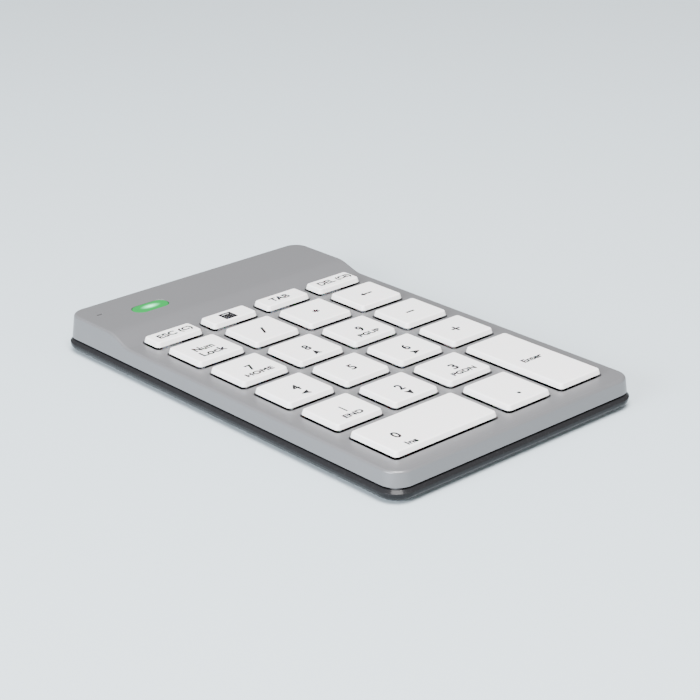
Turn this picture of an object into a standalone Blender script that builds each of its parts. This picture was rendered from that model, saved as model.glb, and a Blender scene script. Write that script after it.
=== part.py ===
"""Wireless numeric keypad: 22 sprung keys in a satin cover over a glossy bottom tray.

Lengths are in millimetres until they reach the mesh. +X is right, +Y is away from the user,
+Z is up, and the origin is the middle of the footprint on the table.
"""
import math

import bmesh
import bpy

MM = 0.001

# Key block: openings in the cover, column by column and row by row
KEY_PITCH = 19.0
COLUMNS = 4
STRIP = 3.0
ROW_DEPTHS = (17.2, 14.6, 14.6, 14.6, 14.6, 7.6)
OPENING_RADIUS = 1.4

# Casing, from the table up
FOOT_PROUD = 0.8
TRAY_HEIGHT = 3.0
SEAM_GAP = 0.6
COVER_HEIGHT = 4.0
HUMP_RISE = 2.35
SIDE_MARGIN = 5.7
FRONT_MARGIN = 5.9
HUMP_LENGTH = 27.2
RAMP_LEAD = 2.2
RAMP_LENGTH = 10.0
CORNER_RADIUS = 5.3
COVER_DRAFT = 0.5
COVER_FILLET = 0.7
COVER_WALL = 1.2
DECK_THICKNESS = 1.5
RIM_PROUD = 0.65
RIM_ROUND = 0.6
TRAY_ROUND = 1.9
TRAY_FLOOR = 1.4
LIP_THICKNESS = 0.8
LIP_RISE = 1.2
RIB_WIDTH = 1.0

# Clearances
GAP = 0.3
KEY_GAP = 0.38
WINDOW_GAP = 0.2
ROUND_END_SLACK = 0.01
PRESSED_ROOM = 1.95

# Keys
KEY_PROUD = 1.8
KEY_RAISED = 0.25
KEY_TRAVEL = 1.8
KEY_TAPER = 0.45
KEY_EDGE = 0.35
KEY_WALL = 0.9
PLUNGER_RADIUS = 1.7
PLUNGER_LENGTH = 1.0
CLIP_LENGTH = 1.1
CLIP_SPREAD = 4.6
CLIP_WIDTH = 0.9
CLIP_DEPTH = 4.0
CLIP_MARGIN = 4.9

# Switch stack under the keys
PLATE_THICKNESS = 0.5
MEMBRANE_THICKNESS = 0.25
MAT_THICKNESS = 0.3
STACK_MARGIN = 1.2
DOME_BASE_RADIUS = 3.3
DOME_TOP_RADIUS = 1.9
DOME_WALL = 0.5
DOME_STEPS = 10
HOOK_SLOT_WIDTH = 1.4
HOOK_SLOT_DEPTH = 3.0
HOOK_SLOT_SPREAD = 4.9
TAIL_WIDTH = 12.0
TAIL_RUN = 0.6
TAIL_CLIMB = 1.0
TAIL_ENTRY = 1.6

# Stabiliser wires under the two long keys
WIRE_RADIUS = 0.4
WIRE_HALF_LENGTH = 12.5
WIRE_STUB = 1.6
WIRE_REACH = 7.0
WIRE_BAR_OFFSET = 4.4
PIVOT_RISE = 0.85
TAB_THICKNESS = 1.0
TAB_WIDTH = 2.4
TAB_ROOF = 0.9
HANGER_SPACING = 8.0
HANGER_WIDTH = 2.0
HANGER_WALL = 0.4

# Screws and their posts
SCREW_INSET = 3.2
SCREW_RADIUS = 0.7
SCREW_HEAD_RADIUS = 1.6
SCREW_HEAD = 0.6
SCREW_TIP_ROOM = 0.6
SCREW_HEAD_DEPTH = 0.5
RECESS_ARM = 1.0
RECESS_WIDTH = 0.45
RECESS_DEPTH = 0.36
POST_RADIUS = 2.6
POST_ROOF = 1.1
BOSS_RADIUS = 1.7

# Feet
FOOT_LENGTH = 14.0
FOOT_WIDTH = 5.0
FOOT_INSET_X = 12.5
FOOT_INSET_Y = 8.5
FOOT_RECESS = 0.6
FOOT_RADIUS = 2.3

# Electronics under the hump
BOARD_THICKNESS = 0.8
BOARD_SIDE = 3.4
BOARD_SETBACK = 3.2
BOARD_FRONT = 4.0
STANDOFF_RADIUS = 1.5
STANDOFF_SHARES = (0.15, 0.5, 0.9)
SOCKET_FROM_BOARD_END = 8.6
SOCKET_WIDTH = 8.9
SOCKET_HEIGHT = 3.2
SOCKET_DEPTH = 7.3
SOCKET_WALL = 0.35
SOCKET_TONGUE = 0.7
SOCKET_RECESS = 0.5
SOCKET_BACK_WALL = 1.0
TONGUE_SIDE_ROOM = 1.1
TONGUE_RECESS = 0.8
SWITCH_SIDE = 18.2
SWITCH_LENGTH = 8.0
SWITCH_DEPTH = 3.0
SWITCH_HEIGHT = 2.6
SWITCH_WALL = 0.6
KNOB_TRAVEL = 2.0
KNOB_STEM = 1.8
KNOB_BASE = 2.6
KNOB_HEIGHT = 1.0
KNOB_DEPTH = 1.0
KNOB_PROUD = 0.2
KNOB_STEM_SHARE = 0.9
BATTERY_SIDE = 5.2
BATTERY_LENGTH = 35.0
BATTERY_FRONT = 4.3
BATTERY_TO_BOARD = 1.4
BATTERY_PAD = 0.4
BATTERY_HEIGHT = 4.6
BATTERY_BACK = 6.4
BATTERY_RADIUS = 1.0
BATTERY_EDGE = 0.6
PAD_INSET = 2.0
LEAD_RADIUS = 0.45
LEAD_SPACING = 1.5
LEAD_RUN = 0.5
LEAD_DROP = 0.8
LEAD_LEVEL_SHARE = 0.6
WINDOW_SIDE = 20.2
WINDOW_BACK = 12.4
WINDOW_LENGTH = 11.6
WINDOW_WIDTH = 5.4
WINDOW_FLANGE = 0.9
FLANGE_THICKNESS = 0.5
LED_SIZE = 2.0
LED_HEIGHT = 0.8
SLOT_SIDE = 6.4
SLOT_BACK = 8.1
SLOT_LENGTH = 2.1
SLOT_WIDTH = 0.6
LENS_WIDTH = 2.4
DIFFUSER_LENGTH = 10.0
DIFFUSER_WIDTH = 4.0
CHIP_SIZE = 6.0
CHIP_HEIGHT = 0.9
CONNECTOR_DEPTH = 3.2
CONNECTOR_HEIGHT = 2.2
CONNECTOR_SLOT = 0.85
CONNECTOR_SLOT_DEPTH = 2.0
CONNECTOR_SETBACK = 0.4
CONNECTOR_CHEEK = 1.2
PLUG_SIZE = 4.0
PLUG_HEIGHT = 2.0
PLUG_INSET = 3.0
CRYSTAL_LENGTH = 3.2
CRYSTAL_WIDTH = 1.5
ANTENNA_LENGTH = 5.0
ANTENNA_WIDTH = 2.0
CHIP_SHAPE = 0.75

# Mesh fineness
CORNER_STEPS = 5
SMALL_CORNER_STEPS = 3
RAMP_STEPS = 8
POST_STEPS = 12
SCREW_STEPS = 12

# Levels worked out from the sizes above
Z_UNDER = FOOT_PROUD
Z_FLOOR = Z_UNDER + TRAY_FLOOR
Z_RIM = Z_UNDER + TRAY_HEIGHT
Z_SEAM = Z_RIM + SEAM_GAP
Z_DECK = Z_SEAM + COVER_HEIGHT
Z_HUMP = Z_DECK + HUMP_RISE
Z_KEY = Z_DECK + KEY_PROUD
Z_SKIRT = Z_DECK + KEY_RAISED
Z_KEY_ROOF = Z_KEY - KEY_WALL
Z_MAT_TOP = Z_KEY_ROOF - KEY_TRAVEL - PRESSED_ROOM
Z_MAT = Z_MAT_TOP - MAT_THICKNESS
Z_MEMBRANE_TOP = Z_MAT - GAP
Z_MEMBRANE = Z_MEMBRANE_TOP - MEMBRANE_THICKNESS
Z_PLATE_TOP = Z_MEMBRANE - GAP
Z_PLATE = Z_PLATE_TOP - PLATE_THICKNESS
Z_RIB = Z_PLATE - GAP
Z_LIP = Z_RIM + SEAM_GAP + LIP_RISE
Z_HUMP_ROOF = Z_HUMP - DECK_THICKNESS
Z_SOCKET = (Z_SEAM + Z_HUMP_ROOF) / 2
Z_BOARD_TOP = Z_SOCKET - SOCKET_HEIGHT / 2 - GAP
Z_BOARD = Z_BOARD_TOP - BOARD_THICKNESS
Z_PART = Z_BOARD_TOP + GAP
Z_HEAD_ROOF = Z_UNDER + SCREW_HEAD_DEPTH + SCREW_HEAD + GAP
Z_POST = Z_HEAD_ROOF + POST_ROOF
Z_BOSS = Z_POST + GAP
Z_HEAD = Z_UNDER + SCREW_HEAD_DEPTH
Z_SCREW_TIP = Z_DECK - DECK_THICKNESS - SCREW_TIP_ROOM
Z_BATTERY = Z_FLOOR + 2 * GAP + BATTERY_PAD
Z_PIVOT = Z_MAT_TOP + PIVOT_RISE
Z_BAR = Z_KEY_ROOF - GAP - WIRE_RADIUS

# Plan worked out from the sizes above
BLOCK_WIDTH = COLUMNS * KEY_PITCH - STRIP
BLOCK_DEPTH = sum(ROW_DEPTHS) + (len(ROW_DEPTHS) - 1) * STRIP
COVER_WIDTH = BLOCK_WIDTH + 2 * SIDE_MARGIN
COVER_DEPTH = FRONT_MARGIN + BLOCK_DEPTH + HUMP_LENGTH
BLOCK_LEFT = -BLOCK_WIDTH / 2
BLOCK_FRONT = FRONT_MARGIN - COVER_DEPTH / 2
BLOCK_BACK = BLOCK_FRONT + BLOCK_DEPTH
BACK = COVER_DEPTH / 2
TRAY_WIDTH = COVER_WIDTH + 2 * RIM_PROUD
TRAY_DEPTH = COVER_DEPTH + 2 * RIM_PROUD
TRAY_RADIUS = CORNER_RADIUS + RIM_PROUD
LIP_INSET = RIM_PROUD + COVER_WALL + GAP
TRAY_WALL = LIP_INSET + LIP_THICKNESS
RAMP_START = BLOCK_BACK - RAMP_LEAD
BATTERY_RIGHT = COVER_WIDTH / 2 - BATTERY_SIDE
BATTERY_LEFT = BATTERY_RIGHT - BATTERY_LENGTH
BOARD_LEFT = BOARD_SIDE - COVER_WIDTH / 2
BOARD_RIGHT = BATTERY_LEFT - BATTERY_TO_BOARD
SOCKET_X = BOARD_RIGHT - SOCKET_FROM_BOARD_END
SWITCH_X = SWITCH_SIDE - COVER_WIDTH / 2
WINDOW_X = WINDOW_SIDE - COVER_WIDTH / 2
SLOT_X = SLOT_SIDE - COVER_WIDTH / 2

# Keys: name, column, row, columns spanned, rows spanned
KEYS = (
    ("key_0", 0, 0, 2, 1),
    ("key_point", 2, 0, 1, 1),
    ("key_enter", 3, 0, 1, 2),
    ("key_1", 0, 1, 1, 1),
    ("key_2", 1, 1, 1, 1),
    ("key_3", 2, 1, 1, 1),
    ("key_4", 0, 2, 1, 1),
    ("key_5", 1, 2, 1, 1),
    ("key_6", 2, 2, 1, 1),
    ("key_plus", 3, 2, 1, 1),
    ("key_7", 0, 3, 1, 1),
    ("key_8", 1, 3, 1, 1),
    ("key_9", 2, 3, 1, 1),
    ("key_minus", 3, 3, 1, 1),
    ("key_num_lock", 0, 4, 1, 1),
    ("key_divide", 1, 4, 1, 1),
    ("key_multiply", 2, 4, 1, 1),
    ("key_backspace", 3, 4, 1, 1),
    ("key_escape", 0, 5, 1, 1),
    ("key_calculator", 1, 5, 1, 1),
    ("key_tab", 2, 5, 1, 1),
    ("key_delete", 3, 5, 1, 1),
)
LONG_KEYS = ("key_0", "key_enter")


# ---------------------------------------------------------------- scene and materials

def clear_scene():
    for obj in list(bpy.data.objects):
        bpy.data.objects.remove(obj, do_unlink=True)


def make_collection(name):
    collection = bpy.data.collections.new(name)
    bpy.context.scene.collection.children.link(collection)
    return collection


def make_material(name, colour, roughness, metallic=0.0):
    material = bpy.data.materials.new(name)
    material.use_nodes = True
    shader = material.node_tree.nodes["Principled BSDF"]
    shader.inputs["Base Color"].default_value = (*colour, 1.0)
    shader.inputs["Roughness"].default_value = roughness
    shader.inputs["Metallic"].default_value = metallic
    material.diffuse_color = (*colour, 1.0)
    return material


def finish_part(obj, name, material):
    """Name a finished piece, give it its material and keep it in the keypad's collection."""
    obj.name = name
    obj.data.name = name
    obj.data.materials.clear()
    obj.data.materials.append(material)
    obj.data.shade_smooth()
    obj.data.set_sharp_from_angle(angle=math.radians(35))
    for collection in list(obj.users_collection):
        collection.objects.unlink(obj)
    PARTS.objects.link(obj)
    return obj


def as_cutter(obj, name):
    obj.name = name
    obj.display_type = "WIRE"
    obj.hide_render = True
    return obj


# ---------------------------------------------------------------- shapes

def object_from_bmesh(bm, name):
    mesh = bpy.data.meshes.new(name)
    bm.to_mesh(mesh)
    bm.free()
    obj = bpy.data.objects.new(name, mesh)
    CUTTERS.objects.link(obj)
    return obj


def rounded_rect(cx, cy, width, depth, radius, steps=SMALL_CORNER_STEPS):
    """Outline of a rectangle with round corners, anticlockwise."""
    points = []
    corners = ((1, 1, 0), (-1, 1, 90), (-1, -1, 180), (1, -1, 270))
    for side_x, side_y, start in corners:
        corner_x = cx + side_x * (width / 2 - radius)
        corner_y = cy + side_y * (depth / 2 - radius)
        for step in range(steps + 1):
            angle = math.radians(start + 90 * step / steps)
            points.append((corner_x + radius * math.cos(angle), corner_y + radius * math.sin(angle)))
    return points


def pill(cx, cy, length, width, steps):
    """Outline with fully round ends; a hair of flat is left between the two arcs of each end."""
    return rounded_rect(cx, cy, length, width, width / 2 - ROUND_END_SLACK, steps)


def rect(x0, x1, y0, y1):
    return [(x0, y0), (x1, y0), (x1, y1), (x0, y1)]


def mesh_from_curve(curve_object, name):
    """Turn a filled curve into a welded mesh object in the same place."""
    bpy.context.view_layer.update()
    evaluated = curve_object.evaluated_get(bpy.context.evaluated_depsgraph_get())
    mesh = bpy.data.meshes.new_from_object(evaluated)
    bm = bmesh.new()
    bm.from_mesh(mesh)
    bmesh.ops.transform(bm, matrix=curve_object.matrix_world, verts=bm.verts)
    bmesh.ops.remove_doubles(bm, verts=bm.verts, dist=1e-6)
    bmesh.ops.recalc_face_normals(bm, faces=bm.faces)
    bpy.data.objects.remove(curve_object, do_unlink=True)
    return object_from_bmesh(bm, name)


def prism(name, outlines, z0, z1):
    """A flat outline with holes, from z0 up to z1."""
    curve = bpy.data.curves.new(name, "CURVE")
    curve.dimensions = "2D"
    curve.fill_mode = "BOTH"
    curve.extrude = (z1 - z0) / 2 * MM
    for outline in outlines:
        spline = curve.splines.new("POLY")
        spline.points.add(len(outline) - 1)
        for point, (x, y) in zip(spline.points, outline):
            point.co = (x * MM, y * MM, 0, 1)
        spline.use_cyclic_u = True
    obj = bpy.data.objects.new(name, curve)
    obj.location.z = (z0 + z1) / 2 * MM
    CUTTERS.objects.link(obj)
    return mesh_from_curve(obj, name)


def side_prism(name, outline, start, end, carry="X"):
    """An upright outline carried along X (points are Y, Z) or along Y (points are X, Z)."""
    obj = prism(name, [outline], start, end)
    bm = bmesh.new()
    bm.from_mesh(obj.data)
    for vertex in bm.verts:
        flat, height, along = vertex.co
        vertex.co = (along, flat, height) if carry == "X" else (flat, along, height)
    bmesh.ops.recalc_face_normals(bm, faces=bm.faces)
    bm.to_mesh(obj.data)
    bm.free()
    return obj


def box(name, x0, x1, y0, y1, z0, z1):
    bm = bmesh.new()
    bmesh.ops.create_cube(bm, size=1.0)
    size = ((x1 - x0) * MM, (y1 - y0) * MM, (z1 - z0) * MM)
    middle = ((x0 + x1) / 2 * MM, (y0 + y1) / 2 * MM, (z0 + z1) / 2 * MM)
    bmesh.ops.scale(bm, vec=size, verts=bm.verts)
    bmesh.ops.translate(bm, vec=middle, verts=bm.verts)
    return object_from_bmesh(bm, name)


def cone(name, x, y, z0, z1, radius, top_radius=None, steps=POST_STEPS):
    """An upright round piece, straight unless it is given another radius at the top."""
    bm = bmesh.new()
    top = radius if top_radius is None else top_radius
    bmesh.ops.create_cone(bm, cap_ends=True, segments=steps, radius1=radius * MM, radius2=top * MM,
                          depth=(z1 - z0) * MM)
    bmesh.ops.translate(bm, vec=(x * MM, y * MM, (z0 + z1) / 2 * MM), verts=bm.verts)
    return object_from_bmesh(bm, name)


def tube(name, points, radius, resolution=2):
    """A round wire through the points."""
    curve = bpy.data.curves.new(name, "CURVE")
    curve.dimensions = "3D"
    curve.bevel_depth = radius * MM
    curve.bevel_resolution = resolution
    curve.use_fill_caps = True
    spline = curve.splines.new("POLY")
    spline.points.add(len(points) - 1)
    for point, (x, y, z) in zip(spline.points, points):
        point.co = (x * MM, y * MM, z * MM, 1)
    obj = bpy.data.objects.new(name, curve)
    CUTTERS.objects.link(obj)
    return mesh_from_curve(obj, name)


def gather(name, pieces):
    """Put pieces that don't touch into one cutter."""
    bm = bmesh.new()
    for piece in pieces:
        bm.from_mesh(piece.data)
        bpy.data.objects.remove(piece, do_unlink=True)
    return as_cutter(object_from_bmesh(bm, name), name)


def boolean(target, tool, operation):
    as_cutter(tool, tool.name)
    modifier = target.modifiers.new(operation.lower(), "BOOLEAN")
    modifier.operation = operation
    modifier.solver = "EXACT"
    modifier.object = tool
    return modifier


def cut(target, tool):
    return boolean(target, tool, "DIFFERENCE")


def fuse(target, tool):
    return boolean(target, tool, "UNION")


def bevel_angle(obj, width, segments, angle):
    modifier = obj.modifiers.new("edge", "BEVEL")
    modifier.width = width * MM
    modifier.segments = segments
    modifier.limit_method = "ANGLE"
    modifier.angle_limit = math.radians(angle)
    modifier.use_clamp_overlap = False
    return modifier


def taper_top(obj, z, inset, width, depth):
    """Move the vertices at height z inwards, as moulding draft does."""
    for vertex in obj.data.vertices:
        if abs(vertex.co.z - z * MM) < 1e-6:
            vertex.co.x *= 1 - 2 * inset / width
            vertex.co.y *= 1 - 2 * inset / depth


# ---------------------------------------------------------------- places

def row_front(row):
    return BLOCK_FRONT + sum(ROW_DEPTHS[:row]) + row * STRIP


def opening(column, row, columns, rows):
    """Left, right, front and back of a key's opening."""
    left = BLOCK_LEFT + column * KEY_PITCH
    right = left + columns * KEY_PITCH - STRIP
    front = row_front(row)
    back = row_front(row + rows - 1) + ROW_DEPTHS[row + rows - 1]
    return left, right, front, back


def key_centre(place):
    left, right, front, back = opening(*place)
    return (left + right) / 2, (front + back) / 2


def screw_places():
    """Two screws at the front corners, two beside the middle rows and two at the back corners."""
    x = COVER_WIDTH / 2 - SCREW_INSET
    y = COVER_DEPTH / 2 - SCREW_INSET
    middle = row_front(3) - STRIP / 2
    return [(side * x, place) for place in (-y, middle, y) for side in (-1, 1)]


def ramp_height(y):
    """Rise of the cover above the deck at y: a smooth S up to the hump."""
    share = min(max((y - RAMP_START) / RAMP_LENGTH, 0.0), 1.0)
    return HUMP_RISE * (1 - math.cos(math.pi * share)) / 2


def stack_outline():
    """Plan of the switch plate and the sheets on it."""
    left = BLOCK_LEFT - STACK_MARGIN
    front = BLOCK_FRONT - STACK_MARGIN
    return rect(left, -left, front, BLOCK_BACK + STACK_MARGIN)


def tab_boxes(grow, z0, z1):
    """Upright tabs that hold the stabilisers' stub ends, or the clearance round them."""
    boxes = []
    half = TAB_THICKNESS / 2 + grow
    width = TAB_WIDTH / 2 + grow
    for name, *place in KEYS:
        if name not in LONG_KEYS:
            continue
        cx, cy = key_centre(place)
        for side in (-1, 1):
            along = side * (WIRE_HALF_LENGTH + WIRE_STUB - TAB_THICKNESS / 2)
            across = WIRE_BAR_OFFSET - WIRE_REACH
            if name == "key_0":
                x, y, dx, dy = cx + along, cy + across, half, width
            else:
                x, y, dx, dy = cx + across, cy + along, width, half
            boxes.append(box("tab", x - dx, x + dx, y - dy, y + dy, z0, z1))
    return boxes


def post_clearances(z0, z1, radius):
    return [cone("post_clearance", x, y, z0, z1, radius) for x, y in screw_places()]


# ---------------------------------------------------------------- casing

def cover_solid(name, inset, drop, z_low):
    """Block with the cover's outline and its raised back, set in and lowered by the arguments."""
    width = COVER_WIDTH - 2 * inset
    depth = COVER_DEPTH - 2 * inset
    radius = CORNER_RADIUS - inset
    outline = [(-depth, z_low), (depth, z_low), (depth, Z_HUMP - drop)]
    for step in range(RAMP_STEPS, -1, -1):
        y = RAMP_START + RAMP_LENGTH * step / RAMP_STEPS
        outline.append((y, Z_DECK + ramp_height(y) - drop))
    outline.append((-depth, Z_DECK - drop))
    solid = side_prism(name, outline, -width, width)
    plan = prism(name + "_plan", [rounded_rect(0, 0, width, depth, radius, CORNER_STEPS)],
                 Z_SEAM - COVER_HEIGHT, Z_HUMP + COVER_HEIGHT)
    draft = COVER_DRAFT * (Z_HUMP + COVER_HEIGHT - Z_SEAM) / COVER_HEIGHT
    taper_top(plan, Z_HUMP + COVER_HEIGHT, draft, COVER_WIDTH, COVER_DEPTH)
    taper_top(plan, Z_SEAM - COVER_HEIGHT, -COVER_DRAFT, COVER_WIDTH, COVER_DEPTH)
    boolean(solid, plan, "INTERSECT")
    return solid


def opening_cutters():
    cutters = []
    for name, *place in KEYS:
        left, right, front, back = opening(*place)
        cx, cy = key_centre(place)
        outline = rounded_rect(cx, cy, right - left, back - front, OPENING_RADIUS)
        cutters.append(prism("opening", [outline], Z_MAT_TOP, Z_HUMP + HUMP_RISE))
    return gather("key_openings", cutters)


def make_top_cover(material):
    cover = cover_solid("top_cover", 0.0, 0.0, Z_SEAM - COVER_HEIGHT / 2)
    bevel_angle(cover, COVER_FILLET, 2, 50)
    cut(cover, box("seam_trim", -COVER_WIDTH, COVER_WIDTH, -COVER_DEPTH, COVER_DEPTH,
                   Z_SEAM - COVER_HEIGHT, Z_SEAM))
    cut(cover, cover_solid("cover_cavity", COVER_WALL, DECK_THICKNESS, Z_SEAM - COVER_HEIGHT))
    cut(cover, opening_cutters())
    bosses = []
    holes = []
    for x, y in screw_places():
        roof = Z_DECK + ramp_height(y) - DECK_THICKNESS
        bosses.append(cone("boss", x, y, Z_BOSS, roof + DECK_THICKNESS / 2, BOSS_RADIUS))
        holes.append(cone("pilot", x, y, Z_BOSS - GAP, Z_SCREW_TIP + GAP, SCREW_RADIUS + GAP,
                          steps=SCREW_STEPS))
    fuse(cover, gather("cover_bosses", bosses))
    cut(cover, gather("cover_pilot_holes", holes))
    cut(cover, port_cutters())
    return finish_part(cover, "top_cover", material)


def port_cutters():
    """Openings in the hump: light window, lamp slot, charging socket and power switch."""
    window_y = BACK - WINDOW_BACK
    window = pill(WINDOW_X, window_y, WINDOW_LENGTH, WINDOW_WIDTH, 6)
    slot = pill(SLOT_X, BACK - SLOT_BACK, SLOT_LENGTH, SLOT_WIDTH, 2)
    inside = BACK - COVER_WALL - 2 * COVER_DRAFT - GAP
    outside = BACK + RIM_PROUD
    socket = upright_slot(SOCKET_X, Z_SOCKET, SOCKET_WIDTH + 2 * GAP, SOCKET_HEIGHT + 2 * GAP,
                          inside, outside)
    switch_length = KNOB_STEM + KNOB_TRAVEL + 2 * GAP
    switch = upright_slot(SWITCH_X - KNOB_TRAVEL / 2, knob_level(), switch_length, KNOB_HEIGHT + 2 * GAP,
                          inside, outside)
    pieces = [prism("window_hole", [window], Z_HUMP_ROOF - GAP, Z_HUMP + GAP),
              prism("lamp_hole", [slot], Z_HUMP_ROOF - GAP, Z_HUMP + GAP), socket, switch]
    return gather("cover_ports", pieces)


def upright_slot(x, z, width, height, front, back):
    """A round-ended block that runs from front to back."""
    return side_prism("slot", pill(x, z, width, height, 4), front, back, carry="Y")


def knob_level():
    return Z_PART + SWITCH_HEIGHT / 2


def make_bottom_tray(material):
    outline = rounded_rect(0, 0, TRAY_WIDTH, TRAY_DEPTH, TRAY_RADIUS, CORNER_STEPS)
    tray = prism("bottom_tray", [outline], Z_UNDER, Z_RIM)
    round_tray_edges(tray)
    inner = rounded_rect(0, 0, TRAY_WIDTH - 2 * TRAY_WALL, TRAY_DEPTH - 2 * TRAY_WALL,
                         TRAY_RADIUS - TRAY_WALL, CORNER_STEPS)
    outer = rounded_rect(0, 0, TRAY_WIDTH - 2 * LIP_INSET, TRAY_DEPTH - 2 * LIP_INSET,
                         TRAY_RADIUS - LIP_INSET, CORNER_STEPS)
    fuse(tray, prism("lip", [outer, inner], Z_FLOOR, Z_LIP))
    cut(tray, prism("tray_cavity", [inner], Z_FLOOR, Z_LIP + GAP))
    fuse(tray, gather("tray_ribs", tray_ribs()))
    fuse(tray, gather("tray_posts", post_clearances(Z_FLOOR - TRAY_FLOOR / 2, Z_POST, POST_RADIUS)))
    cut(tray, gather("boss_room", post_clearances(Z_POST, Z_LIP + GAP, BOSS_RADIUS + GAP)))
    cut(tray, gather("screw_holes", post_clearances(Z_FLOOR, Z_POST + GAP, SCREW_RADIUS + GAP)))
    heads = post_clearances(Z_UNDER - GAP, Z_HEAD_ROOF, SCREW_HEAD_RADIUS + GAP)
    cut(tray, gather("head_recesses", heads))
    cut(tray, gather("foot_recesses", foot_prisms(GAP, Z_UNDER - GAP, Z_UNDER + FOOT_RECESS)))
    cut(tray, gather("port_notches", port_notches()))
    return finish_part(tray, "bottom_tray", material)


def round_tray_edges(tray):
    """Round the tray's underside widely and its upper rim narrowly."""
    bm = bmesh.new()
    bm.from_mesh(tray.data)
    for z, width, segments in ((Z_UNDER, TRAY_ROUND, 3), (Z_RIM, RIM_ROUND, 2)):
        edges = [edge for edge in bm.edges
                 if all(abs(v.co.z - z * MM) < 1e-6 for v in edge.verts)
                 and len(edge.link_faces) == 2 and edge.calc_face_angle() > 1.0]
        bmesh.ops.bevel(bm, geom=edges, offset=width * MM, segments=segments, profile=0.5,
                        affect="EDGES", clamp_overlap=False)
    bm.to_mesh(tray.data)
    bm.free()


def tray_ribs():
    """Ribs that carry the switch plate under the strips, and the board's standoffs."""
    half = TRAY_WIDTH / 2 - TRAY_WALL + GAP
    ribs = []
    for row in range(1, len(ROW_DEPTHS)):
        y = row_front(row) - STRIP / 2
        ribs.append(box("rib", -half, half, y - RIB_WIDTH / 2, y + RIB_WIDTH / 2, Z_FLOOR - GAP, Z_RIB))
    y = (board_front() + BACK - BOARD_SETBACK) / 2
    for share in STANDOFF_SHARES:
        x = BOARD_LEFT + (BOARD_RIGHT - BOARD_LEFT) * share
        ribs.append(cone("standoff", x, y, Z_FLOOR - GAP, Z_BOARD - GAP, STANDOFF_RADIUS))
    return ribs


def foot_prisms(grow, z0, z1):
    pieces = []
    for side_x, side_y in ((-1, -1), (1, -1), (-1, 1), (1, 1)):
        x = side_x * (COVER_WIDTH / 2 - FOOT_INSET_X)
        y = side_y * (COVER_DEPTH / 2 - FOOT_INSET_Y)
        outline = rounded_rect(x, y, FOOT_LENGTH + 2 * grow, FOOT_WIDTH + 2 * grow, FOOT_RADIUS, 4)
        pieces.append(prism("foot", [outline], z0, z1))
    return pieces


def port_notches():
    """Room in the tray's lip for the charging socket and the switch knob."""
    front = BACK - TRAY_WALL - 2 * LIP_THICKNESS
    back = BACK - COVER_WALL
    notches = []
    for x, half, low in ((SOCKET_X, SOCKET_WIDTH / 2 + GAP, Z_SOCKET - SOCKET_HEIGHT / 2 - GAP),
                         (SWITCH_X - KNOB_TRAVEL / 2, (KNOB_STEM + KNOB_TRAVEL) / 2 + GAP,
                          knob_level() - KNOB_HEIGHT / 2 - GAP)):
        notches.append(box("notch", x - half, x + half, front, back, low, Z_LIP + GAP))
    return notches


def make_feet(material):
    names = ("foot_front_left", "foot_front_right", "foot_rear_left", "foot_rear_right")
    pieces = foot_prisms(0.0, 0.0, Z_UNDER + FOOT_RECESS - GAP)
    return [finish_part(piece, name, material) for piece, name in zip(pieces, names)]


def make_screws(material):
    """Pan-head screws up from the tray into the cover's bosses, each with a cross recess."""
    names = ("front_left", "front_right", "middle_left", "middle_right", "rear_left", "rear_right")
    screws = []
    for (x, y), name in zip(screw_places(), names):
        screw = cone("screw", x, y, Z_HEAD, Z_HEAD + SCREW_HEAD, SCREW_HEAD_RADIUS, steps=SCREW_STEPS)
        shank = cone("shank", x, y, Z_HEAD + SCREW_HEAD / 2, Z_SCREW_TIP, SCREW_RADIUS, steps=SCREW_STEPS)
        fuse(screw, shank)
        for arm, width in ((RECESS_ARM, RECESS_WIDTH / 2), (RECESS_WIDTH / 2, RECESS_ARM)):
            cut(screw, box("recess", x - arm, x + arm, y - width, y + width,
                           Z_HEAD - GAP, Z_HEAD + RECESS_DEPTH))
        screws.append(finish_part(screw, "screw_" + name, material))
    return screws


# ---------------------------------------------------------------- keys

def make_key(name, place, material):
    """A hollow cap with leaning sides, a plunger over its dome and two scissor clips."""
    left, right, front, back = opening(*place)
    cx, cy = key_centre(place)
    width = right - left - 2 * KEY_GAP
    depth = back - front - 2 * KEY_GAP
    cap = key_shell(name, cx, cy, width, depth)
    dome = cone(name + "_plunger", cx, cy, Z_KEY_ROOF - PLUNGER_LENGTH, Z_KEY_ROOF + KEY_WALL / 2,
                PLUNGER_RADIUS, steps=8)
    fuse(cap, dome)
    clips = scissor_boxes(name, place, CLIP_SPREAD, CLIP_WIDTH, clip_depth(place, CLIP_DEPTH, CLIP_MARGIN),
                          Z_KEY_ROOF - CLIP_LENGTH, Z_KEY_ROOF + KEY_WALL / 2)
    fuse(cap, gather(name + "_clips", clips))
    if name in LONG_KEYS:
        fuse(cap, gather(name + "_hangers", wire_hangers(name, cx, cy)))
    return finish_part(cap, name, material)


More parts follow.
